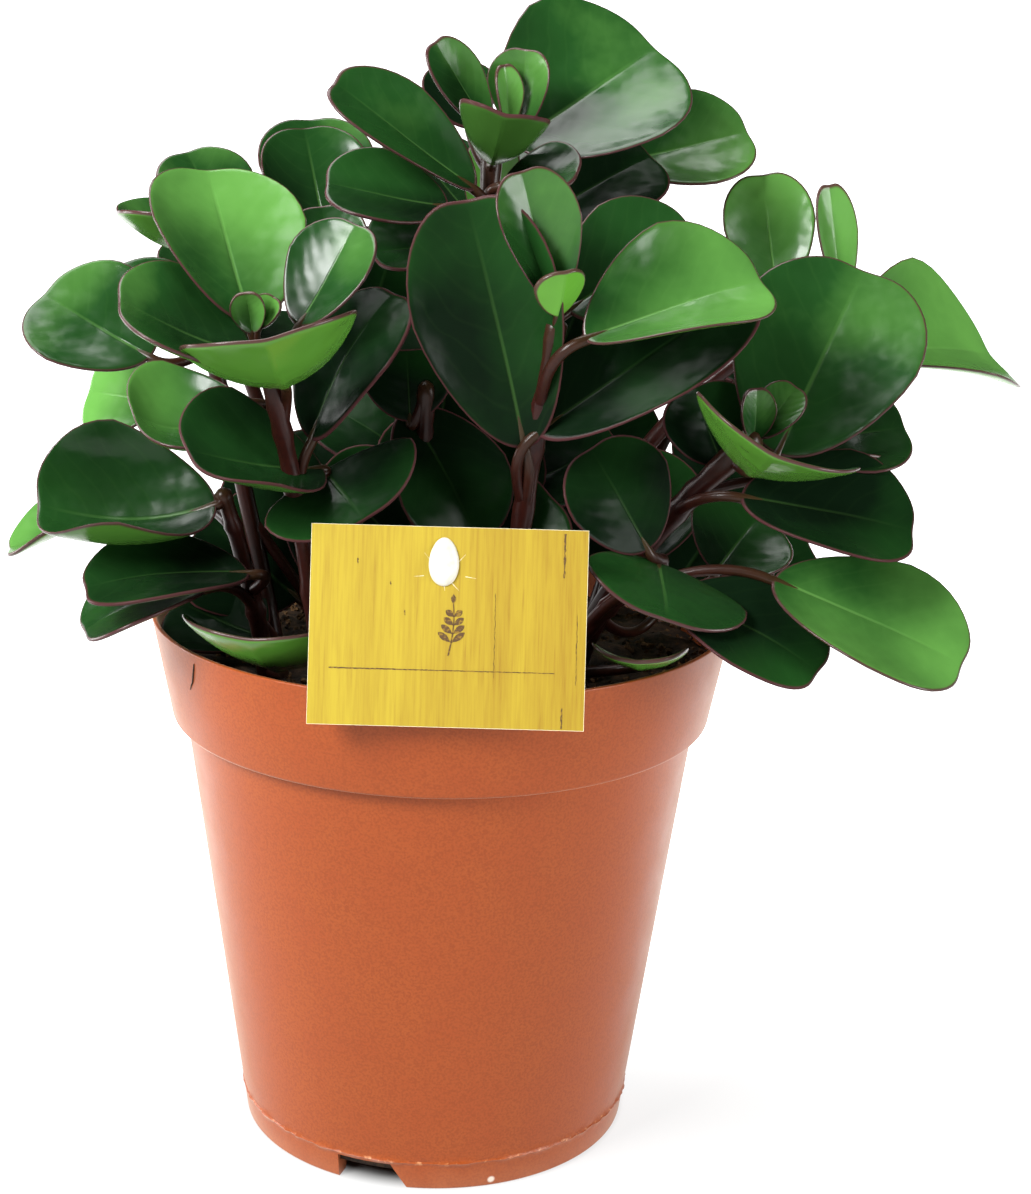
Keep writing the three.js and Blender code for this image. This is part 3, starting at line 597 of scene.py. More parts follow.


# Leafy stems. A leaf's row gives where on the stem it sits, the foot and tip of its midrib, its width, where
# its upper face looks, how far its halves fold up, how much they curl, how far the midrib sags and how light a
# green it is. That lightness is partly the leaf's age, young leaves lighter, and partly painted light: leaves
# in shadow are set dark as painted shade, back-lit ones light as painted glow. The inner rows are dark leaves
# deep in the bush, darkened as painted shade to fill its shaded gaps.
shoots = {
    "shoot_left_front": {
        "stem": ((-22, -28, 101), (-25, -38, 140), (-32, -44, 172)),
        "thick": 2,
        "leaves": (
            (0.97, (-35, -40, 177), (-46, -17, 204), 32, (0.25, -0.4, 1), 18, 12, 1, 0.88),
            (0.95, (-26, -42, 177), (-16, -35, 196), 19, (0, -0.4, 1), 14, 12, 1, 0.4),
            (0.78, (-28, -46, 167), (-29, -71, 181), 35, (-0.22, 0, 1), 20, 20, 3, 0.62),
            (0.86, (-34, -45, 172), (-57, -54, 184), 32, (0, -0.42, 1), 12, 20, 2, 0.42),
            (0.62, (-22, -35, 149), (-46, -50, 156), 34, (0, -0.5, 1), 10, 34, 2, 0.2),
            (0.55, (-24, -38, 155), (-9, -30, 183), 25, (-1, -1, 0.6), 14, -10, -2, 0.04),
            (0.3, (-22, -33, 148), (-13, -50, 143), 33, (-0.5, -0.2, 1), 8, 16, 0, 0.12),
            (1, (-34, -45, 176), (-35, -48, 184), 8, (0, -1, 0.4), 30, 30, 1, 0.95),
            (1, (-33, -45, 177), (-30, -45, 183), 7, (-0.3, -1, 0.4), 30, 30, 1, 0.95),
        ),
        "inner": (
            (0.2, (-21, -14, 117), (-14, -10, 141), 32, (0, -1, 0.4), 12, 12, 1, 0.05),
        ),
    },
    "shoot_left_back": {
        "stem": ((-34, -4, 101), (-42, 0, 145), (-51, 2, 174)),
        "thick": 1.9,
        "leaves": (
            (0.85, (-59, -6, 164), (-82, 0, 176), 30, (0, -0.75, 1), 10, 12, 1, 0.5),
            (0.97, (-43, 0, 188), (-54, 10, 204), 21, (0, -0.4, 1), 12, 10, 1, 0.64),
            (0.95, (-48, -4, 185), (-65, -8, 194), 28, (0, 0, 1), 28, 10, 2, 0.45),
            (0.6, (-39, -24, 159), (-59, -32, 159), 32, (0, -0.5, 1), 20, 20, 6, 0.62),
            (0.7, (-60, 10, 152), (-77, 18, 152), 21, (0, -1, 0.5), 10, 10, 0, 1),
        ),
        "inner": (
            (0.35, (-30, 0, 113), (-50, 4, 129), 34, (0, -0.8, 0.6), 12, 12, 1, 0.05),
        ),
    },
    "shoot_back_left": {
        "stem": ((-16, 12, 101), (-16, 20, 150), (-27, 22, 178)),
        "thick": 1.9,
        "leaves": (
            (0.97, (-26, 18, 185), (-32, 30, 208), 24, (0, -0.3, 1), 12, 20, 1, 0.52),
            (0.95, (-27, 27, 185), (-32, 42, 209), 26, (0, -0.3, 1), 10, 16, 1, 0.46),
            (0.9, (-24, 12, 176), (-27, 16, 193), 18, (0, -1, 0.3), 16, 10, 1, 0.3),
            (0.8, (-19, 23, 166), (-44, 35, 177), 28, (0, 0, 1), 14, 14, 1, 0.12),
            (0.7, (-14, 24, 158), (-6, 52, 170), 28, (0, 0, 1), 14, 14, 1, 0.12),
        ),
        "inner": (
            (0.3, (-23, 8, 117), (-39, 16, 143), 34, (0, -0.9, 0.5), 12, 12, 1, 0.04),
            (0.5, (-6, 22, 129), (-14, 30, 156), 36, (0, -1, 0.3), 12, 12, 1, 0.03),
            (0.8, (-18, 24, 166), (-12, 30, 186), 30, (0, -1, 0.35), 12, 12, 1, 0.08),
        ),
    },
    "shoot_left_low": {
        "stem": ((-34, -20, 101), (-37, -24, 125), (-42, -28, 142)),
        "thick": 1.9,
        "leaves": (
            (0.98, (-43, -29, 140), (-77, -37, 142), 40, (0, -0.55, 1), 8, 72, 5, 0.34),
            (0.8, (-64, -11, 136), (-88, -14, 126), 22, (0, -0.1, 1), 24, 10, 1, 0.8),
            (0.45, (-36, -35, 128), (-67, -44, 127), 26, (0, -0.27, 1), 10, 14, -1, 0.2),
            (0.35, (-45, -32, 124), (-68, -40, 117), 25, (0, -0.1, 1), 10, 10, -1, 0.3),
            (0.06, (-30, -34, 109), (-34, -54, 122), 36, (0, 0, 1), 14, 30, 2, 0.6),
        ),
        "inner": (
            (0.3, (-36, -12, 108), (-55, -6, 114), 28, (0, -0.5, 1), 12, 12, 1, 0.06),
        ),
    },
    "shoot_middle_low": {
        "stem": ((0, -22, 101), (-4, -26, 140), (-3, -28, 164)),
        "thick": 1.9,
        "leaves": (
            (0.9, (-7, -25, 159), (8, -33, 134), 24, (0.3, -1, 0.5), 14, 10, -2, 0.14),
            (0.97, (-6, -28, 157), (-7, -26, 171), 18, (0, -1, 0.3), 14, 10, 0, 0.06),
            (0.8, (-1, -18, 149), (1, -14, 168), 24, (0, -1, 0.4), 12, 10, 1, 0.06),
            (0.5, (-8, -20, 130), (-24, -18, 146), 24, (0, -1, 0.6), 12, 10, 1, 0.04),
            (0.4, (4, -22, 124), (22, -20, 142), 26, (0, -1, 0.6), 12, 10, 1, 0.04),
        ),
        "inner": (
            (0.3, (1, -6, 128), (5, 0, 154), 36, (0, -1, 0.3), 12, 12, 1, 0.04),
        ),
    },
    "shoot_top": {
        "stem": ((3, -4, 101), (6, -6, 160), (8, 0, 206)),
        "thick": 2.2,
        "leaves": (
            (0.99, (12, 2, 207), (41, 16, 227), 44, (-0.3, -1, 0.65), 16, 10, 1, 0.42),
            (1, (7, 6, 210), (-4, 4, 227), 12, (0.3, -0.9, 0.6), 16, 14, 1, 0.6),
            (0.95, (8, -3, 204), (11, -23, 216), 22, (0.2, 0, 1), 30, 30, 3, 0.2),
            (1, (13, 1, 210), (14, 0, 226), 15, (-0.4, -1, 0.2), 26, 20, 1, 0.62),
            (1, (11, 0, 210), (10, -2, 223), 7, (0.5, -1, 0.4), 30, 20, 0, 0.88),
            (0.86, (5, -7, 199), (-23, -10, 220), 20, (0.4, -0.8, 0.7), 34, 10, 1, 0.44),
            (0.84, (0, -12, 196), (-24, -16, 201), 22, (0, -0.7, 1), 12, 16, 1, 0.3),
            (0.74, (4, -12, 190), (-15, -18, 188), 25, (0, -0.4, 1), 12, 16, 1, 0.14),
            (0.9, (10, -7, 200), (25, -14, 204), 18, (0, -0.6, 1), 22, 16, 1, 0.36),
            (0.85, (19, 6, 193), (41, 16, 205), 27, (0, -0.8, 1), 10, 10, 0, 0.03),
            (0.85, (34, 16, 203), (61, 22, 210), 27, (0, -0.9, 1), 10, 10, 1, 0.66),
            (0.95, (3, 14, 209), (-1, 24, 222), 16, (0, -0.5, 1), 12, 10, 1, 0.2),
            (0.35, (-2, -6, 142), (-26, 6, 154), 24, (0, -0.6, 1), 12, 10, 0, 0.06),
            (0.3, (10, -4, 136), (36, 2, 148), 28, (0, -0.6, 1), 12, 10, 0, 0.06),
            (0.55, (2, 2, 160), (-14, 26, 172), 28, (0, 0, 1), 12, 10, 0, 0.1),
            (0.6, (9, 2, 166), (22, 28, 180), 28, (0, 0, 1), 12, 10, 0, 0.1),
        ),
        "inner": (
            (0.2, (16, 4, 124), (21, 12, 152), 36, (0, -1, 0.4), 12, 12, 1, 0.04),
            (0.5, (20, 8, 158), (28, 12, 178), 28, (0, -1, 0.35), 12, 12, 1, 0.08),
        ),
    },
    "shoot_front": {
        "stem": ((12, -30, 101), (15, -36, 140), (21, -50, 180)),
        "thick": 2,
        "leaves": (
            (0.52, (16, -44, 156), (4, -50, 203), 31, (-0.25, -1, 0.3), 24, 16, 2, 0.245),
            (1, (21, -52, 184), (14, -52, 208), 18, (0.35, -1, 0.1), 34, 20, 2, 0.58),
            (0.97, (21, -52, 182), (22, -57, 191), 10, (0, -0.3, 1), 10, 10, 0, 1),
            (0.8, (26, -53, 178), (59, -44, 189), 32, (-0.3, -1, 1.1), 36, 8, 0, 0.88),
            (0.7, (23, -41, 181), (47, -28, 196), 27, (0, -1, 0.8), 12, 10, 0, 0.34),
            (0.55, (18, -45, 159), (57, -41, 187), 25, (-0.2, -1, 0.8), 12, 10, 0, 0.06),
        ),
    },
    "shoot_right": {
        "stem": ((27, -12, 101), (31, -18, 125), (59, -34, 157)),
        "thick": 2.5,
        "leaves": (
            (0.97, (64, -30, 153), (81, -14, 188), 38, (-0.2, -1, 0.5), 10, 12, 1, 0.48),
            (0.93, (58, -40, 152), (60, -66, 162), 36, (0.42, 0, 1), 24, 16, 2, 0.54),
            (0.9, (67, -22, 154), (91, -18, 157), 26, (0, -0.7, 1), 10, 14, 1, 0.3),
            (0.8, (67, -24, 148), (88, -18, 150), 16, (0, 0.3, 1), 16, 14, 1, 0.8),
            (0.72, (57, -36, 146), (91, -38, 141), 29, (0, -0.6, 1), 12, 16, 0, 0.1),
            (1, (60, -34, 157), (67, -32, 167), 10, (-0.3, -1, 0.4), 26, 10, 0, 0.5),
            (1, (59, -34, 156), (59, -35, 167), 8, (0.3, -1, 0.4), 26, 10, 0, 0.5),
            (0.8, (54, -26, 150), (48, -24, 165), 20, (0.3, -1, 0.4), 14, 10, 1, 0.1),
        ),
        "inner": (
            (0.3, (34, 0, 121), (40, 8, 147), 34, (0, -1, 0.4), 12, 12, 1, 0.04),
            (0.3, (45, 2, 112), (60, 8, 135), 34, (0, -0.9, 0.5), 12, 12, 1, 0.05),
        ),
    },
    "shoot_right_back": {
        "stem": ((24, 14, 101), (34, 16, 150), (72, 10, 172)),
        "thick": 1.9,
        "leaves": (
            (0.97, (67, 12, 177), (63, 18, 202), 20, (0, -1, 0.3), 16, 12, 1, 0.92),
            (1, (80, 8, 177), (76, 10, 201), 10, (0.3, -1, 0.2), 26, 20, 1, 0.9),
            (0.9, (79, -4, 168), (114, 16, 166), 41, (0, -0.6, 0.8), 35, 4, -1, 1),
            (0.7, (60, 16, 158), (70, 42, 170), 28, (0, 0, 1), 12, 12, 0, 0.12),
        ),
        "inner": (
            (0.3, (52, 14, 111), (79, 18, 123), 32, (0, -0.8, 0.6), 12, 12, 1, 0.05),
            (0.5, (55, 24, 128), (69, 30, 152), 34, (0, -1, 0.4), 12, 12, 1, 0.05),
        ),
    },
    "shoot_right_low": {
        "stem": ((22, -26, 101), (24, -30, 115), (43, -32, 132)),
        "thick": 2,
        "leaves": (
            (0.7, (64, -36, 130), (101, -46, 117), 32, (0.1, -0.55, 1), 10, 12, 0, 0.88),
            (0.4, (45, -38, 127), (73, -50, 116), 28, (0, -0.4, 1), 10, 10, -1, 0.14),
            (1, (40, -36, 135), (28, -35, 155), 23, (0.3, -1, 0.4), 12, 10, 0, 0.08),
            (0.97, (42, -34, 132), (43, -55, 127), 33, (0.4, -0.3, 1), 4, 6, 0, 0.34),
            (0.8, (55, -14, 125), (64, -8, 136), 24, (-0.2, -1, 0.6), 12, 10, 0, 0.3),
            (0.2, (40, -32, 111), (38, -50, 118), 20, (0, 0, 1), 14, 24, 1, 0.7),
        ),
    },
    "shoot_rear_left": {
        "stem": ((-30, 26, 101), (-36, 32, 135), (-48, 38, 160)),
        "thick": 1.9,
        "leaves": (
            (0.95, (-50, 38, 161), (-78, 38, 172), 31, (0, -0.4, 1), 12, 14, 1, 0.32),
            (0.97, (-48, 42, 163), (-56, 66, 180), 31, (0, 0, 1), 12, 14, 1, 0.32),
            (0.9, (-44, 42, 154), (-28, 68, 162), 29, (0, 0, 1), 12, 14, 1, 0.32),
            (0.6, (-42, 36, 136), (-70, 46, 134), 29, (0, 0, 1), 12, 14, -1, 0.32),
            (0.5, (-36, 40, 130), (-44, 68, 130), 29, (0, 0, 1), 12, 14, -1, 0.32),
            (1, (-49, 38, 162), (-46, 42, 182), 15, (0, -0.5, 0.4), 24, 20, 1, 0.32),
        ),
    },
    "shoot_rear_middle": {
        "stem": ((4, 34, 101), (6, 40, 145), (6, 46, 184)),
        "thick": 1.9,
        "leaves": (
            (0.97, (4, 48, 186), (-14, 62, 206), 30, (0, 0, 1), 12, 14, 1, 0.32),
            (0.97, (9, 48, 186), (28, 64, 204), 30, (0, 0, 1), 12, 14, 1, 0.32),
            (0.9, (7, 50, 178), (8, 80, 188), 31, (0, 0, 1), 12, 14, 1, 0.32),
            (0.6, (0, 44, 150), (-24, 62, 154), 29, (0, 0, 1), 12, 14, -1, 0.32),
            (0.55, (10, 44, 146), (27, 68, 150), 26, (0, 0, 1), 12, 14, -1, 0.32),
            (0.4, (5, 46, 134), (2, 76, 132), 30, (0, 0, 1), 12, 14, -1, 0.32),
            (1, (6, 46, 184), (8, 44, 206), 14, (0, 1, 0.2), 24, 20, 1, 0.32),
        ),
        "inner": (
            (0.3, (24, 30, 133), (32, 36, 156), 36, (0, -1, 0.3), 12, 12, 1, 0.03),
        ),
    },
    "shoot_rear_right": {
        "stem": ((32, 30, 101), (40, 36, 130), (54, 44, 154)),
        "thick": 1.9,
        "leaves": (
            (0.95, (57, 43, 154), (86, 42, 166), 31, (0, -0.4, 1), 12, 14, 1, 0.32),
            (0.97, (55, 47, 156), (64, 72, 172), 31, (0, 0, 1), 12, 14, 1, 0.32),
            (0.9, (50, 46, 148), (44, 75, 156), 27, (0, 0, 1), 12, 14, 1, 0.32),
            (0.6, (50, 38, 134), (80, 48, 130), 29, (0, 0, 1), 12, 14, -1, 0.32),
            (0.5, (40, 40, 126), (50, 68, 124), 29, (0, 0, 1), 12, 14, -1, 0.32),
            (1, (54, 44, 154), (52, 46, 176), 14, (0, -0.5, 0.4), 24, 20, 1, 0.32),
        ),
    },
}


# Blade: a thick fleshy leaf, folded softly along its midrib and rounded at its margin. It is deep green, paler
# under, with faint arched side veins, a pale midrib and a thin brown-pink margin.
bladeSettings = {
    "spokes": 56,
    "spokeShift": 0.25,
    "rings": (0.1, 0.24, 0.4, 0.55, 0.68, 0.79, 0.87, 0.92, 0.95, 0.975, 0.992, 1),
    "widest": 0.56,
    "notch": 0.08,
    "notchTurn": 0.3,
    "blunt": 0.9,
    "wedge": 0.2,
    "foldAtFoot": 1.2,
    "foldFall": 0.8,
    "halfThickness": 0.62,
    "thinning": 0.12,
    "rimFrom": 0.93,
    "softFold": 0.07,
    "cup": 0.6,
    "tipDrop": 1.2,
    "tipFrom": 0.55,
    "groove": 0.22,
    "grooveWide": 0.8,
    "rib": 0.5,
    "ribWide": 1.0,
    "wave": 0.35,
    "waves": 5.5,
    "tilt": 0.6,
    "tilts": 3,
    "toneSpread": 0.05,
    "seed": 100,
    "oldAndShadedBelow": 0.25,
    "deepGreen": "#0A190C",
    "midGreen": "#1A3F18",
    "brightGreen": "#54883C",
    "underDark": "#20381C",
    "underBright": "#5C9832",
    "marginColour": "#46282A",
    "marginWide": (0.18, 0.55),
    "veinColour": "#64944A",
    "veins": 7,
    "cloudSize": 26,
    "mottleSize": 2.4,
    "pillowSize": 9,
    "pillowHeight": 0.65,
    "reliefHeight": 0.35,
    "roughness": (0.17, 0.27),
}
# The dull copy goes on old leaves and on leaves set dark as painted shade, where its lost gloss is painted shade
# too.
cuticles = {
    "young": {"name": "waxy_leaf_cuticle", "wax": 0.36},  # glossy
    "old": {"name": "old_and_shaded_leaf_cuticle", "wax": 0.05},  # almost dull
}


# The foot, length and direction of a leaf's midrib, and where its upper face looks.
def leafAxes(leaf):
    base, tip, up = (np.array(v, float) for v in (leaf[1], leaf[2], leaf[4]))
    length = np.linalg.norm(tip - base)
    along = (tip - base) / length
    face = up - along * up.dot(along)
    return base, length, along, face / np.linalg.norm(face)


def makeBlade(s, leaf, rng):
    wide = leaf[3]
    fold, curl, sag, shade = leaf[5:]
    base, length, along, face = leafAxes(leaf)
    side = np.cross(face, along)
    count = s["spokes"]
    t = 2 * np.pi * np.arange(count) / count
    angle = t - s["spokeShift"] * np.sin(2 * t)
    ahead, across = np.cos(angle), np.sin(angle)
    turn = np.minimum(angle, 2 * np.pi - angle)
    notch = s["notch"] * np.exp(-((turn / s["notchTurn"]) ** 2))
    front = s["widest"] + (1 - s["widest"]) * (np.maximum(ahead, 0) ** s["blunt"] - notch)
    x = np.where(ahead < 0, s["widest"] * (1 + ahead), front)
    y = np.where(ahead < 0, across * (1 + s["wedge"] * ahead), across)
    # From here every array has a row for each ring and a column for each spoke.
    ring = np.array((0,) + s["rings"])[:, None]
    share = s["widest"] + ring * (x - s["widest"])[None, :]
    off = ring * y[None, :]
    fromRib = np.abs(off) * wide / 2
    soft = np.sqrt(off ** 2 + s["softFold"] ** 2) - s["softFold"]
    rise = np.radians(fold * (s["foldAtFoot"] - s["foldFall"] * share) + curl / 2 * np.abs(off))
    out = np.sign(off) * fromRib * np.cos(rise)
    cupped = soft * (1 - s["cup"]) + off ** 2 * s["cup"]
    height = cupped * wide / 2 * np.sin(rise) - 4 * sag * share * (1 - share)
    tipShare = np.clip((share - s["tipFrom"]) / (1 - s["tipFrom"]), 0, 1)
    height = height - s["tipDrop"] * min(1, length / 35) * tipShare ** 2
    phase = rng.uniform(0, 6.28, 3)
    swing = s["wave"] * min(1, wide / 30)
    height = height + swing * off ** 2 * np.sin(s["waves"] * share + phase[0] + np.sign(off) * phase[1])
    height = height + s["tilt"] * swing * off * np.sin(s["tilts"] * share + phase[2])
    edge = np.clip((ring - s["rimFrom"]) / (1 - s["rimFrom"]), 0, 1)
    half = (s["halfThickness"] - s["thinning"] * ring) * np.sqrt(1 - edge ** 2) + 0 * share
    dip = s["groove"] * np.exp(-((fromRib / s["grooveWide"]) ** 2)) * (1 - 0.6 * share)
    ridge = s["rib"] * np.exp(-((fromRib / s["ribWide"]) ** 2)) * np.clip(1 - share, 0, 1) ** 0.7
    spot = base + (share * length)[..., None] * along + out[..., None] * side
    upper = spot + (height + half - dip * (1 - edge))[..., None] * face
    lower = spot + (height - half - ridge * (1 - edge))[..., None] * face
    points = [upper[0, 0], *upper[1:].reshape(-1, 3), lower[0, 0], *lower[1:-1].reshape(-1, 3)]
    ringsUp = len(s["rings"])
    under = 1 + ringsUp * count  # the first point of the lower face

    def topIndex(r, k):
        return 0 if r == 0 else 1 + (r - 1) * count + k % count

    def lowIndex(r, k):
        if r == 0:
            return under
        return topIndex(r, k) if r == ringsUp else under + 1 + (r - 1) * count + k % count

    faces = []
    for k in range(count):
        faces.append((0, topIndex(1, k), topIndex(1, k + 1)))
        faces.append((under, lowIndex(1, k + 1), lowIndex(1, k)))
        for r in range(1, ringsUp):
            faces.append((topIndex(r, k), topIndex(r + 1, k), topIndex(r + 1, k + 1), topIndex(r, k + 1)))
            faces.append((lowIndex(r, k), lowIndex(r, k + 1), lowIndex(r + 1, k + 1), lowIndex(r + 1, k)))

    # A grid's values in the order of the points, upper face first.
    def both(grid):
        return np.concatenate(([grid[0, 0]], grid[1:].reshape(-1), [grid[0, 0]], grid[1:-1].reshape(-1)))

    total = len(points)
    tone = shade + rng.uniform(-s["toneSpread"], s["toneSpread"])
    return {
        "points": inPlace(points),
        "faces": facingOut(points, faces),
        "uv": np.stack([both(share), both(0.5 + 0.5 * off)], 1),
        "rim": both((1 - ring) * wide / 2 + 0 * share),
        "under": np.where(np.arange(total) < under, 0.0, 1.0),
        "tone": np.full(total, tone),
        "green": np.ones(total),
        # Leaves set darker than this, old or darkened as painted shade, take the dull copy.
        "material": "old" if shade < s["oldAndShadedBelow"] else "young",
    }


def leafMaterial(s, cuticle):
    # Thick cuticle, waxy and glossy on young leaves and almost dull on old ones; the dull copy also goes on leaves
    # set dark as painted shade, its lost gloss painted shade as well.
    material, tree, place = newMaterial(cuticle["name"])
    blade = addNode(tree, "ShaderNodeUVMap", uv_map="blade")
    parts = addNode(tree, "ShaderNodeSeparateXYZ", [blade]).outputs
    tone, under, rim = (addNode(tree, "ShaderNodeAttribute", attribute_name=name).outputs["Fac"]
                        for name in ("tone", "under", "rim"))
    cloud, mottle, pillow = (addNode(tree, "ShaderNodeTexNoise", {
        "Vector": place, "Scale": 1 / (s[size] * mm), "Detail": detail})
        for size, detail in (("cloudSize", 1), ("mottleSize", 1), ("pillowSize", 1.5)))

    # How light a green: the leaf's own tone, which carries painted shade and glow, with soft clouds and fine
    # mottle, painted shade darkening the foot of the blade, and one half painted lighter than the other, as a fold
    # catches light.
    drift = addNode(tree, "ShaderNodeMapRange", [cloud, 0.25, 0.75, -0.24, 0.2])
    fine = addNode(tree, "ShaderNodeMapRange", [mottle, 0.3, 0.7, -0.015, 0.015])
    # Painted shade: the blade is darker towards its foot.
    paintedFootShade = addNode(tree, "ShaderNodeMapRange", [parts["X"], 0, 0.8, -0.3, 0.1])
    # Painted light: one half of the blade lighter, the other darker.
    halves = addNode(tree, "ShaderNodeMapRange", [parts["Y"], 0.3, 0.7, 0.07, -0.07],
                     interpolation_type="SMOOTHSTEP")
    level = tone
    for part in (drift, fine, paintedFootShade, halves):
        level = addNode(tree, "ShaderNodeMath", [level, part], operation="ADD")
    green = hexColour(s["deepGreen"])
    for start, lighter in ((0, "midGreen"), (0.5, "brightGreen")):
        step = addNode(tree, "ShaderNodeMapRange", [level, start, start + 0.5])
        green = addNode(tree, "ShaderNodeMix", {0: step, 6: green, 7: hexColour(s[lighter])},
                        data_type="RGBA").outputs[2]

    # Across the blade 0 is the midrib and 1 the margin. The midrib fades towards the tip.
    off = parts["Y"]
    for operation, value in (("SUBTRACT", 0.5), ("ABSOLUTE", 0), ("MULTIPLY", 2)):
        off = addNode(tree, "ShaderNodeMath", [off, value], operation=operation)
    rib = addNode(tree, "ShaderNodeMapRange", [off, 0.008, 0.035, 0.4, 0],
                  interpolation_type="SMOOTHSTEP")
    fade = addNode(tree, "ShaderNodeMapRange", [parts["X"], 0.2, 0.95, 1, 0])
    rib = addNode(tree, "ShaderNodeMath", [rib, fade], operation="MULTIPLY")
    # Seven side veins a half, about 5 mm apart, arch towards the tip and waver a little.
    arch = addNode(tree, "ShaderNodeMath", [off, 1.5], operation="POWER")
    arch = addNode(tree, "ShaderNodeMath", [arch, 0.45], operation="MULTIPLY")
    bent = addNode(tree, "ShaderNodeMapRange", [pillow, 0.3, 0.7, -0.03, 0.03])
    lane = parts["X"]
    for operation, value in (("SUBTRACT", arch), ("ADD", bent), ("MULTIPLY", s["veins"]), ("PINGPONG", 0.5)):
        lane = addNode(tree, "ShaderNodeMath", [lane, value], operation=operation)
    vein = addNode(tree, "ShaderNodeMapRange", [lane, 0, 0.12, 0.025, 0],
                   interpolation_type="SMOOTHSTEP")
    line = addNode(tree, "ShaderNodeMath", [rib, vein], operation="MAXIMUM")
    # Ribs are pale on light leaves and sink into the dark of dark ones, old leaves and those set dark as painted
    # shade alike.
    pale = addNode(tree, "ShaderNodeMapRange", [tone, 0.1, 0.7, 0.2, 1])
    drawn = addNode(tree, "ShaderNodeMath", [line, pale], operation="MULTIPLY")
    # The paler underside follows the same value, so it carries the painted shade of shaded leaves and the painted
    # glow of back-lit ones.
    below = addNode(tree, "ShaderNodeMix", {0: tone, 6: hexColour(s["underDark"]), 7: hexColour(s["underBright"])},
                    data_type="RGBA").outputs[2]
    band = addNode(tree, "ShaderNodeMapRange", [rim, *s["marginWide"], 0.95, 0], interpolation_type="SMOOTHSTEP")
    colour = green
    for share, over in ((drawn, hexColour(s["veinColour"])), (under, below), (band, hexColour(s["marginColour"]))):
        colour = addNode(tree, "ShaderNodeMix", {0: share, 6: colour, 7: over}, data_type="RGBA").outputs[2]

    rough = addNode(tree, "ShaderNodeMapRange", [mottle, 0.3, 0.7, *s["roughness"]])
    # The blade swells by a few tenths of a millimetre every 9 mm or so, which breaks up its gloss.
    wide = addNode(tree, "ShaderNodeBump", {"Strength": 1, "Distance": s["pillowHeight"] * mm, "Height": pillow})
    # Between two side veins the skin swells by a few hundredths of a millimetre, more in some than in others.
    uneven = addNode(tree, "ShaderNodeMapRange", [cloud, 0.35, 0.65, 0.02, 0.07])
    quilt = addNode(tree, "ShaderNodeMapRange", [lane, 0, 0.5, 0, uneven],
                    interpolation_type="SMOOTHSTEP")
    relief = mottle
    for operation, value in (("MULTIPLY", 0.08), ("ADD", quilt), ("SUBTRACT", rib)):
        relief = addNode(tree, "ShaderNodeMath", [relief, value], operation=operation)
    bump = addNode(tree, "ShaderNodeBump", {
        "Strength": 0.7, "Distance": s["reliefHeight"] * mm, "Height": relief, "Normal": wide})
    shader = addNode(tree, "ShaderNodeBsdfPrincipled", {
        "Base Color": colour, "Roughness": rough, "IOR": 1.42, "Specular IOR Level": cuticle["wax"],
        "Normal": bump})
    addNode(tree, "ShaderNodeOutputMaterial", {"Surface": shader})
    return material


# Stems and stalks: fleshy, red-brown, greener where they enter a blade.
stemSettings = {
    "sides": 14,
    "steps": 26,
    "stalkSteps": 14,
    "buried": 18,
    "taper": 0.22,
    "stalkThin": 0.5,
    "stalkThick": 1.15,
    "stalkPerWidth": 0.035,
    "stalkRun": 0.45,
    "stalkTaper": 0.12,
    "stalkFlare": 0.25,
    "knuckle": 0.28,
    "knuckleLength": 0.025,
    "colour": "#2E120E",
    "freshColour": "#352C17",
    "speckColour": "#240E0C",
    "speckSize": 1.2,
    "speckHeight": 0.15,
    "roughness": 0.3,
    "specular": 0.3,
}


def bezier(a, b, c, t):
    return a * (1 - t) ** 2 + b * 2 * t * (1 - t) + c * t ** 2


# The chains of a leafy stem, each a list of point, radius and greenness.
def stemChains(s, shoot):
    foot, bend, top = (np.array(v, float) for v in shoot["stem"])
    thick = shoot["thick"]
    down = (foot - bend) / np.linalg.norm(foot - bend)
    main = [(foot + down * s["buried"], thick, 0), (foot + down * s["buried"] / 2, thick, 0)]
    for k in range(s["steps"] + 1):
        t = k / s["steps"]
        swell = max([math.exp(-((t - leaf[0]) / s["knuckleLength"]) ** 2) for leaf in shoot["leaves"]])
        radius = thick * (1 - s["taper"] * t) * (1 + s["knuckle"] * swell)
        main.append((bezier(foot, bend, top, t), radius, max(0, t - 0.85) * 2))
    tipWay = (main[-1][0] - main[-2][0]) / np.linalg.norm(main[-1][0] - main[-2][0])
    for step, left in ((0.4, 0.45), (0.15, 0.1)):
        main.append((main[-1][0] + tipWay * thick * step, thick * left, 0.5))
    chains = [main]
    for leaf in shoot["leaves"] + shoot.get("inner", ()):
        at, wide, sag = leaf[0], leaf[3], leaf[7]
        base, length, along, face = leafAxes(leaf)
        start = bezier(foot, bend, top, at)
        middle = base - along * s["stalkRun"] * np.linalg.norm(start - base)
        radius = min(s["stalkThick"], s["stalkThin"] + s["stalkPerWidth"] * wide)
        stalk = []
        for k in range(s["stalkSteps"] + 1):
            t = k / s["stalkSteps"]
            flare = 1 + s["stalkFlare"] * math.exp(-((t / 0.12) ** 2))
            spot = bezier(start, middle, base, t) - face * 0.3 * radius * t
            stalk.append((spot, radius * flare * (1 - s["stalkTaper"] * t), 0.4 * t ** 2))
        # It runs on as a rib under the blade and thins out.
        for run, left in ((0.05, 0.8), (0.12, 0.62), (0.2, 0.42), (0.3, 0.2)):
            under = 4 * sag * run * (1 - run) + 0.35
            stalk.append((base + along * run * length - face * under, radius * left, 0.7 + run))
        chains.append(stalk)
    return chains


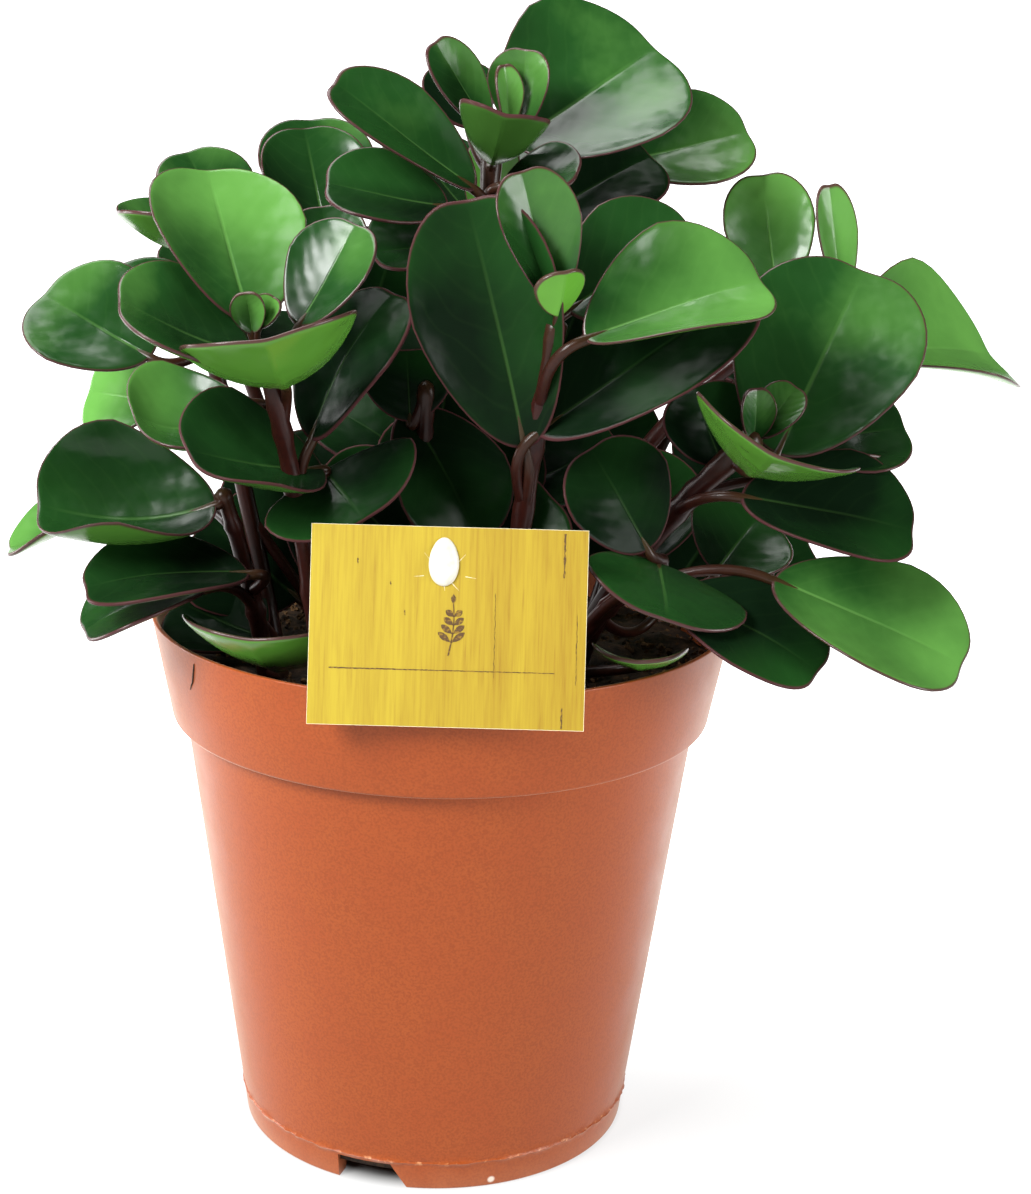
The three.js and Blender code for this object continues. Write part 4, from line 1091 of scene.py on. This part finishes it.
# Sweeps a round section along chains of edges, as thick as their points say.
def sweepTree(material):
    tree, given = newGeometryTree("sweep_stems", {"Sides": "NodeSocketInt", "Thickness": "NodeSocketFloat"})
    line = addNode(tree, "GeometryNodeMeshToCurve", [given["Geometry"]])
    thick = addNode(tree, "GeometryNodeInputNamedAttribute", {"Name": "thick"}, data_type="FLOAT")
    scaled = addNode(tree, "ShaderNodeMath", [thick, given["Thickness"]], operation="MULTIPLY")
    ring = addNode(tree, "GeometryNodeCurvePrimitiveCircle", {"Resolution": given["Sides"], "Radius": 1})
    skin = addNode(tree, "GeometryNodeCurveToMesh", {
        "Curve": line, "Profile Curve": ring, "Scale": scaled, "Fill Caps": True})
    real = addNode(tree, "GeometryNodeRealizeInstances", [skin])
    done = addNode(tree, "GeometryNodeSetMaterial", {"Geometry": real, "Material": material})
    addNode(tree, "NodeGroupOutput", [done])
    return tree


def stemMaterial(s):
    # Juicy stem skin: smooth and fairly glossy, red-brown with darker specks.
    material, tree, place = newMaterial("fleshy_red_stem")
    fresh = addNode(tree, "ShaderNodeAttribute", attribute_name="green").outputs["Fac"]
    speck = addNode(tree, "ShaderNodeTexNoise", {
        "Vector": place, "Scale": 1 / (s["speckSize"] * mm), "Detail": 3, "Roughness": 0.65})
    dark = addNode(tree, "ShaderNodeMapRange", [speck, 0.45, 0.7])
    colour = hexColour(s["colour"])
    for share, over in ((dark, "speckColour"), (fresh, "freshColour")):
        colour = addNode(tree, "ShaderNodeMix", {0: share, 6: colour, 7: hexColour(s[over])},
                         data_type="RGBA").outputs[2]
    bump = addNode(tree, "ShaderNodeBump", {"Strength": 0.3, "Distance": s["speckHeight"] * mm, "Height": speck})
    shader = addNode(tree, "ShaderNodeBsdfPrincipled", {
        "Base Color": colour, "Roughness": s["roughness"], "IOR": 1.42, "Specular IOR Level": s["specular"],
        "Normal": bump})
    addNode(tree, "ShaderNodeOutputMaterial", {"Surface": shader})
    return material


def addAttributes(mesh, layers):
    for label, values in layers.items():
        layer = mesh.attributes.new(label, "FLOAT", "POINT")
        layer.data.foreach_set("value", np.asarray(values, np.float32))


# The swept skin of the chains, as a part to join.
def sweptChains(s, name, chains, tree):
    points, edges, thick, green = [], [], [], []
    for chain in chains:
        for k, (spot, radius, fresh) in enumerate(chain):
            if k:
                edges.append((len(points) - 1, len(points)))
            points.append(spot)
            thick.append(radius * mm)
            green.append(fresh)
    mesh = bpy.data.meshes.new(name)
    mesh.from_pydata([tuple(p) for p in inPlace(points)], edges, [])
    addAttributes(mesh, {"thick": thick, "green": green})
    lines = addObject(name, mesh)
    runTree(lines, tree, {"Sides": s["sides"], "Thickness": 1.0})
    skin = lines.data
    count = len(skin.vertices)
    spots = np.zeros(count * 3, np.float32)
    skin.vertices.foreach_get("co", spots)
    spots = spots.reshape(-1, 3)
    fresh = np.zeros(count, np.float32)
    skin.attributes["green"].data.foreach_get("value", fresh)
    faces = [tuple(p.vertices) for p in skin.polygons]
    bpy.data.objects.remove(lines)
    zero = np.zeros(count)
    return {"points": spots, "faces": facingOut(spots, faces), "uv": np.zeros((count, 2)),
            "rim": zero + 9,  # no blade's margin is near
            "under": zero, "tone": zero, "green": fresh, "material": "stem"}


def joinParts(name, parts, materials):
    points, faces, kinds, start = [], [], [], 0
    for part in parts:
        points.append(part["points"])
        faces += [tuple(int(i) + start for i in face) for face in part["faces"]]
        kinds += [part["material"]] * len(part["faces"])
        start += len(part["points"])
    mesh = meshFrom(name, np.concatenate(points), faces)
    used = sorted(set(kinds))
    for kind in used:
        mesh.materials.append(materials[kind])
    mesh.polygons.foreach_set("material_index", [used.index(kind) for kind in kinds])
    addAttributes(mesh, {label: np.concatenate([part[label] for part in parts])
                         for label in ("rim", "under", "tone", "green")})
    corners = np.zeros(len(mesh.loops), np.int32)
    mesh.loops.foreach_get("vertex_index", corners)
    uv = np.concatenate([part["uv"] for part in parts]).astype(np.float32)
    mesh.uv_layers.new(name="blade").data.foreach_set("uv", uv[corners].ravel())
    return mesh


def makeShoots():
    materials = {kind: leafMaterial(bladeSettings, cuticle) for kind, cuticle in cuticles.items()}
    materials["stem"] = stemMaterial(stemSettings)
    tree = sweepTree(materials["stem"])
    for order, (name, shoot) in enumerate(shoots.items()):
        rng = np.random.default_rng(bladeSettings["seed"] + order)
        parts = [makeBlade(bladeSettings, leaf, rng) for leaf in shoot["leaves"] + shoot.get("inner", ())]
        parts.append(sweptChains(stemSettings, name + "_stems", stemChains(stemSettings, shoot), tree))
        piece = addObject(name + "_fine", joinParts(name + "_fine", parts, materials))
        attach(piece, "root")
        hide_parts(name)


makeShoots()
print("leafy stems are made")


# A thin fibre of peat that sticks to the pot's band: its points, and how much of its width each has. It is dull
# brown, darker in patches of about half a millimetre.
fibreSettings = {
    "width": 0.16,
    "sides": 14,
    "path": (
        ((-46.6, -37.3, 110.2), 0.5),
        ((-46.8, -36.6, 108.6), 0.9),
        ((-47.0, -35.9, 107.2), 1),
        ((-47.2, -35.2, 105.8), 0.9),
        ((-47.6, -34.3, 104.8), 0.7),
        ((-47.9, -33.6, 103.7), 0.35),
    ),
    "look": {
        "name": "dry_peat_fibre",
        "colour": "#3A2A16",
        "patchColour": "#1C120A",
        "patchSize": 0.5,
        "patch": {"Detail": 2},
        "range": (0.4, 0.6),
        "surface": {"Roughness": 0.8},
    },
}


def makeFibre(s):
    material = patchyMaterial(s["look"])
    chain = [(spot, s["width"] * wide, 0) for spot, wide in s["path"]]
    swept = sweptChains(s, "peat_fibre_line", [chain], sweepTree(material))
    piece = addObject("peat_fibre", meshFrom("peat_fibre", swept["points"], swept["faces"]))
    piece.data.materials.append(material)
    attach(piece, "root")


makeFibre(fibreSettings)
print("fibre is made")


# Card: smooth board printed as pale yellow wood, leaning back over the rim.
cardSettings = {
    "width": 50.6,
    "height": 36.6,
    "thickness": 0.6,
    "lean": 16.1,
    "middleX": 2.8,
    "gap": 0.4,
    "aboveRim": 0.35,
    "lightColour": "#AE9823",
    "goldColour": "#8F6E10",
    "streakColour": "#7E5514",
    "edgeColour": "#E6E0C4",
    "edgeWidth": 0.06,
    "grainSize": (0.6, 5, 14),
    "plankSize": (6, 5, 90),
    "waveSize": 8,
    "waveHeight": 0.1,
    "roughness": 0.5,
}


# The card's middle, and which way its right, its top and its front look.
def cardFrame(s):
    lean = math.radians(s["lean"])
    z = potSettings["height"] + s["aboveRim"] * s["height"]
    y = (z - potSettings["height"]) * math.tan(lean) - potSettings["rimRadius"] - s["thickness"] - s["gap"]
    up = np.array([0, math.sin(lean), math.cos(lean)])
    front = np.array([0, -math.cos(lean), math.sin(lean)])
    return np.array([s["middleX"], y, z]), np.array([1.0, 0, 0]), up, front


def cardMaterial(s):
    # Printed board: wood grain in print, so no relief, with a slight sheen and white cut edges.
    material, tree, place = newMaterial("printed_card_wood_look")
    # Brings the pattern to the card's own axes: X across, Z up the card.
    moved = addNode(tree, "ShaderNodeMapping", [place, tuple(-inPlace(cardFrame(s)[0]))])
    own = addNode(tree, "ShaderNodeMapping", {0: moved, 2: (math.radians(s["lean"]), 0, 0)})
    parts = addNode(tree, "ShaderNodeSeparateXYZ", [own]).outputs
    # Grain lines about 0.6 mm apart across and 14 mm long up the card, in broad planks of 6 by 90 mm.
    fibre, broad = (addNode(tree, "ShaderNodeMapping", {0: own, 3: tuple(1 / (v * mm) for v in s[size])})
                    for size in ("grainSize", "plankSize"))
    grain = addNode(tree, "ShaderNodeTexNoise", {"Vector": fibre, "Scale": 1, "Detail": 5, "Roughness": 0.6})
    plank = addNode(tree, "ShaderNodeTexNoise", {"Vector": broad, "Scale": 1, "Detail": 2})
    streak = addNode(tree, "ShaderNodeMapRange", [grain, 0.42, 0.68, 0, 0.4])
    rightwards = addNode(tree, "ShaderNodeMapRange", [parts["X"], -25 * mm, 26 * mm, 0, 0.42])
    bands = addNode(tree, "ShaderNodeMapRange", [plank, 0.38, 0.62, -0.1, 0.2])
    gold = addNode(tree, "ShaderNodeMath", [streak, rightwards], operation="ADD")
    gold = addNode(tree, "ShaderNodeMath", [gold, bands], operation="ADD", use_clamp=True)
    deep = addNode(tree, "ShaderNodeMapRange", [grain, 0.62, 0.8, 0, 0.45])
    cut = 0
    for part, reach in (("X", s["width"] / 2), ("Z", s["height"] / 2)):
        aside = addNode(tree, "ShaderNodeMath", [parts[part]], operation="ABSOLUTE")
        side = addNode(tree, "ShaderNodeMath", [aside, (reach - s["edgeWidth"]) * mm], operation="GREATER_THAN")
        cut = addNode(tree, "ShaderNodeMath", [cut, side], operation="MAXIMUM")
    colour = hexColour(s["lightColour"])
    for share, over in ((gold, "goldColour"), (deep, "streakColour"), (cut, "edgeColour")):
        colour = addNode(tree, "ShaderNodeMix", {0: share, 6: colour, 7: hexColour(s[over])},
                         data_type="RGBA").outputs[2]
    # The board's surface waves by a few hundredths of a millimetre over about 8 mm.
    soft = addNode(tree, "ShaderNodeTexNoise", {"Vector": own, "Scale": 1 / (s["waveSize"] * mm), "Detail": 1})
    bump = addNode(tree, "ShaderNodeBump", {"Strength": 0.3, "Distance": s["waveHeight"] * mm, "Height": soft})
    shader = addNode(tree, "ShaderNodeBsdfPrincipled", {
        "Base Color": colour, "Roughness": s["roughness"], "IOR": 1.5, "Normal": bump})
    addNode(tree, "ShaderNodeOutputMaterial", {"Surface": shader})
    return material


def makeCard(s):
    card = cadNodes["label_card"]
    card.data.materials.clear()
    card.data.materials.append(cardMaterial(s))


makeCard(cardSettings)
print("card is made")


# Stake: white polystyrene strip behind the card, with an egg-shaped nub that comes through it. It is clean,
# satin and very slightly uneven.
stakeSettings = {
    "width": 6,
    "thickness": 1.3,
    "lean": 4.3,
    "footZ": 50,
    "pointLength": 10,
    "rise": 3,
    "behind": 2.6,
    "nubWidth": 4.6,
    "nubHeight": 8,
    "nubFrom": -3.4,
    "nubReach": 1.3,
    "nubLip": 0.45,
    "nubClear": 0.06,
    "nubDrop": 6.4,
    "nubShift": 1,
    "nubNarrowing": 0.1,
    "nubSides": 48,
    "round": 0.3,
    "sharpAngle": 40,
    "look": {
        "name": "moulded_white_polystyrene",
        "colour": "#D2CFC2",
        "patchColour": "#BDB9AA",
        "patchSize": 2,
        "patch": {"Detail": 3},
        "range": (0.45, 0.7),
        "relief": {"size": 2, "detail": 3, "strength": 0.25, "height": 0.1},
        "surface": {"Roughness": 0.4, "IOR": 1.59},
    },
}


# The pointed strip, which leans with the pot's wall. It starts from its middle beside the nub.
def stakeStrip(s, atNub):
    lean = math.radians(s["lean"])
    right = np.array([1.0, 0, 0])
    rise = np.array([0, -math.sin(lean), math.cos(lean)])
    back = np.array([0, math.cos(lean), math.sin(lean)])
    low = (s["footZ"] - atNub[2]) / math.cos(lean)
    high = s["rise"] / math.cos(lean)
    half = s["width"] / 2
    point = low + s["pointLength"]
    ring = [(-half, high), (-half, point), (0, low), (half, point), (half, high)]
    points, faces = prism(*([atNub + right * x + rise * z + back * depth for x, z in ring]
                            for depth in (-s["thickness"] / 2, s["thickness"] / 2)))
    strip = addObject("stake_strip", meshFrom("stake_strip", inPlace(points), faces, smooth=False))
    bevel = strip.modifiers.new("round", "BEVEL")
    bevel.width = s["round"] * mm
    bevel.segments = 3
    settle(strip)
    return strip


# The nub's section is an egg, narrower above, drawn in towards its front in a dome.
def stakeNub(s, nub):
    right, up, front = cardFrame(cardSettings)[1:]
    points, faces, count = [], [], s["nubSides"]
    lip = cardSettings["thickness"] / 2 + s["nubClear"]
    dome = cardSettings["thickness"] / 2 + s["nubReach"] - lip
    levels = [(s["nubFrom"], 1, 0), (lip, 1, 0), (lip, 1, s["nubLip"])]
    levels += [(lip + dome * math.sin(a), math.cos(a), s["nubLip"] * math.cos(a))
               for a in (0.15, 0.35, 0.6, 0.9, 1.2, 1.45)]
    for depth, scale, extra in levels:
        for k in range(count):
            a = 2 * math.pi * k / count
            x = (s["nubWidth"] / 2 * scale + extra) * math.sin(a) * (1 - s["nubNarrowing"] * math.cos(a))
            z = (s["nubHeight"] / 2 * scale + extra) * math.cos(a)
            points.append(nub + right * x + up * z + front * depth)
    last = (len(levels) - 1) * count
    for k in range(count):
        n = (k + 1) % count
        faces += [(a + k, a + n, a + count + n, a + count + k) for a in range(0, last, count)]
        faces.append((len(points), n, k))
        faces.append((len(points) + 1, last + k, last + n))
    points += [nub + front * s["nubFrom"], nub + front * (lip + dome + 0.01)]
    return inPlace(points), facingOut(points, faces)


def makeStake(s):
    centre, right, up = cardFrame(cardSettings)[:3]
    nub = centre + up * (cardSettings["height"] / 2 - s["nubDrop"]) - right * s["nubShift"]
    strip = stakeStrip(s, nub + np.array([0, s["behind"], 0]))
    points = [v.co for v in strip.data.vertices]
    faces = [tuple(p.vertices) for p in strip.data.polygons]
    nubPoints, nubFaces = stakeNub(s, nub)
    faces += [tuple(i + len(points) for i in face) for face in nubFaces]
    joined = meshFrom("stake_white", [*points, *nubPoints], faces)
    joined.set_sharp_from_angle(angle=math.radians(s["sharpAngle"]))
    joined.materials.append(patchyMaterial(s["look"]))
    strip.data = joined
    strip.name = "stake_white"
    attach(strip, "root")
    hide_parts("label_stake")


makeStake(stakeSettings)
print("stake is made")


# What is printed on the wood, as thin ink: a rule, a few grain marks and a small leafy sprig. The brown offset
# ink is matt and worn paler in specks. Round the nub the print has cracked in creases, where the pale board
# shows in part.
printSettings = {
    "lift": 0.03,
    "thickness": 0.02,
    "seed": 5,
    "rule": {"left": -21.5, "right": 19.7, "z": -7.9, "thick": 0.28, "steps": 140},
    "marks": (
        {"x": 21.0, "low": 9.5, "high": 17.6, "thick": 0.5},
        {"x": 21.2, "low": -18.0, "high": -14.2, "thick": 0.4},
        {"x": 8.6, "low": -9.0, "high": 6.4, "thick": 0.12},
        {"x": -16.7, "low": 11.2, "high": 12.2, "thick": 0.35},
        {"x": -10.6, "low": 7.5, "high": 8.1, "thick": 0.3},
        {"x": -7.9, "low": 2.0, "high": 2.9, "thick": 0.3},
        {"x": 23.6, "low": -10.0, "high": 3.0, "thick": 0.16},
    ),
    "sprig": {"x": 0.2, "z": -5.2, "tall": 9.5, "steps": 12, "sway": 0.9, "leaf": 3.1, "leafLean": 38, "pairs": 4},
    "leafRun": (0, 0.12, 0.3, 0.5, 0.7, 0.85, 0.95, 1),
    "leafWidths": (0.1, 0.25, 0.8, 1.15, 1.1, 0.75, 0.4, 0.05),
    "budWidths": (0.1, 0.4, 0.75, 0.95, 0.95, 0.75, 0.4, 0.05),
    "creaseWide": 0.13,
    "creases": (
        ((-3.6, 1.6), (-2.4, 0.1)),
        ((3.9, 1.4), (2.7, 0.1)),
        ((-5.4, -2.8), (-3.6, -2.6)),
        ((6, -2.9), (4, -2.6)),
        ((2.9, -5.2), (1.3, -3.6)),
        ((0.3, -5.3), (0.1, -4.2)),
    ),
    "inkLook": {
        "name": "brown_offset_ink",
        "colour": "#4E3410",
        "patchColour": cardSettings["goldColour"],
        "patchSize": 0.5,
        "patch": {"Detail": 3},
        "range": (0.5, 0.62, 0, 0.7),
        "surface": {"Roughness": 0.6, "IOR": 1.5},
    },
    "creaseLook": {
        "name": "cracked_print",
        "colour": cardSettings["lightColour"],
        "patchColour": cardSettings["edgeColour"],
        "patchSize": 0.6,
        "patch": {"Detail": 2},
        "range": (0.4, 0.6, 0.25, 0.9),
        "surface": {"Roughness": 0.6, "IOR": 1.5},
    },
}


def inkRibbon(path, widths):
    points, faces = [], []
    for k, ((x, z), wide) in enumerate(zip(path, widths)):
        ahead = np.array(path[min(k + 1, len(path) - 1)]) - np.array(path[max(k - 1, 0)])
        ahead = ahead / (np.linalg.norm(ahead) + 1e-9)
        aside = np.array([-ahead[1], ahead[0]]) * wide / 2
        points += [(x + aside[0], z + aside[1]), (x - aside[0], z - aside[1])]
        if k:
            faces.append((2 * k - 2, 2 * k - 1, 2 * k + 1, 2 * k))
    return points, faces


# The ink's flat shapes on the card, X to the right and Z up from its middle.
def inkShapes(s):
    ragged = random.Random(s["seed"])
    rule, sprig = s["rule"], s["sprig"]
    count = rule["steps"]
    run = [(rule["left"] + (rule["right"] - rule["left"]) * k / count, rule["z"] + ragged.uniform(-0.03, 0.03))
           for k in range(count + 1)]
    shapes = [inkRibbon(run, [rule["thick"] * ragged.uniform(0.6, 1.1) * (1 - 0.45 * k / count)
                              for k in range(count + 1)])]
    for mark in s["marks"]:
        count = max(4, int((mark["high"] - mark["low"]) * 2))
        run = [(mark["x"] + ragged.uniform(-0.08, 0.08), mark["low"] + (mark["high"] - mark["low"]) * k / count)
               for k in range(count + 1)]
        shapes.append(inkRibbon(run, [mark["thick"] * ragged.uniform(0.15, 1) for k in range(count + 1)]))
    count = sprig["steps"]
    stem = [(sprig["x"] + sprig["sway"] * math.sin(k / count * 2.2), sprig["z"] + sprig["tall"] * k / count)
            for k in range(count + 1)]
    shapes.append(inkRibbon(stem, [0.3 - 0.012 * k for k in range(count + 1)]))
    lean = math.radians(sprig["leafLean"])
    for pair in range(sprig["pairs"]):
        x, z = stem[3 + pair * 2]
        size = sprig["leaf"] * (1 - 0.13 * pair)
        for way in (-1, 1):
            leaf = [(x + way * size * t * math.cos(lean), z + size * t * math.sin(lean)) for t in s["leafRun"]]
            shapes.append(inkRibbon(leaf, s["leafWidths"]))
    bud = [(stem[-1][0], stem[-1][1] + 0.25 * k) for k in range(len(s["budWidths"]))]
    return shapes + [inkRibbon(bud, s["budWidths"])]


# The creases run out from the nub and widen away from where they start.
def creaseShapes(s, card, stake):
    nubX, nubZ = -stake["nubShift"], card["height"] / 2 - stake["nubDrop"]
    shapes = []
    for start, end in s["creases"]:
        run = [(start[0] + (end[0] - start[0]) * k / 4 + nubX, start[1] + (end[1] - start[1]) * k / 4 + nubZ)
               for k in range(5)]
        shapes.append(inkRibbon(run, [s["creaseWide"] * (0.3 + 0.2 * k) for k in range(5)]))
    return shapes


def makePrint(s, card, stake):
    centre, right, up, front = cardFrame(card)
    face = centre + front * (card["thickness"] / 2 + s["lift"])
    points, faces, kinds = [], [], []
    for kind, shapes in enumerate((inkShapes(s), creaseShapes(s, card, stake))):
        for flat, quads in shapes:
            start = len(points)
            points += [face + right * x + up * z for x, z in flat]
            faces += [tuple(i + start for i in quad) for quad in quads]
            kinds += [kind] * len(quads)
    mesh = meshFrom("card_print", inPlace(points), faces, smooth=False)
    mesh.materials.append(patchyMaterial(s["inkLook"]))
    mesh.materials.append(patchyMaterial(s["creaseLook"]))
    mesh.polygons.foreach_set("material_index", kinds)
    piece = addObject("card_print", mesh)
    solid = piece.modifiers.new("ink", "SOLIDIFY")
    solid.thickness = s["thickness"] * mm
    solid.offset = 0
    settle(piece)
    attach(piece, "root")


makePrint(printSettings, cardSettings, stakeSettings)
print("print is made")
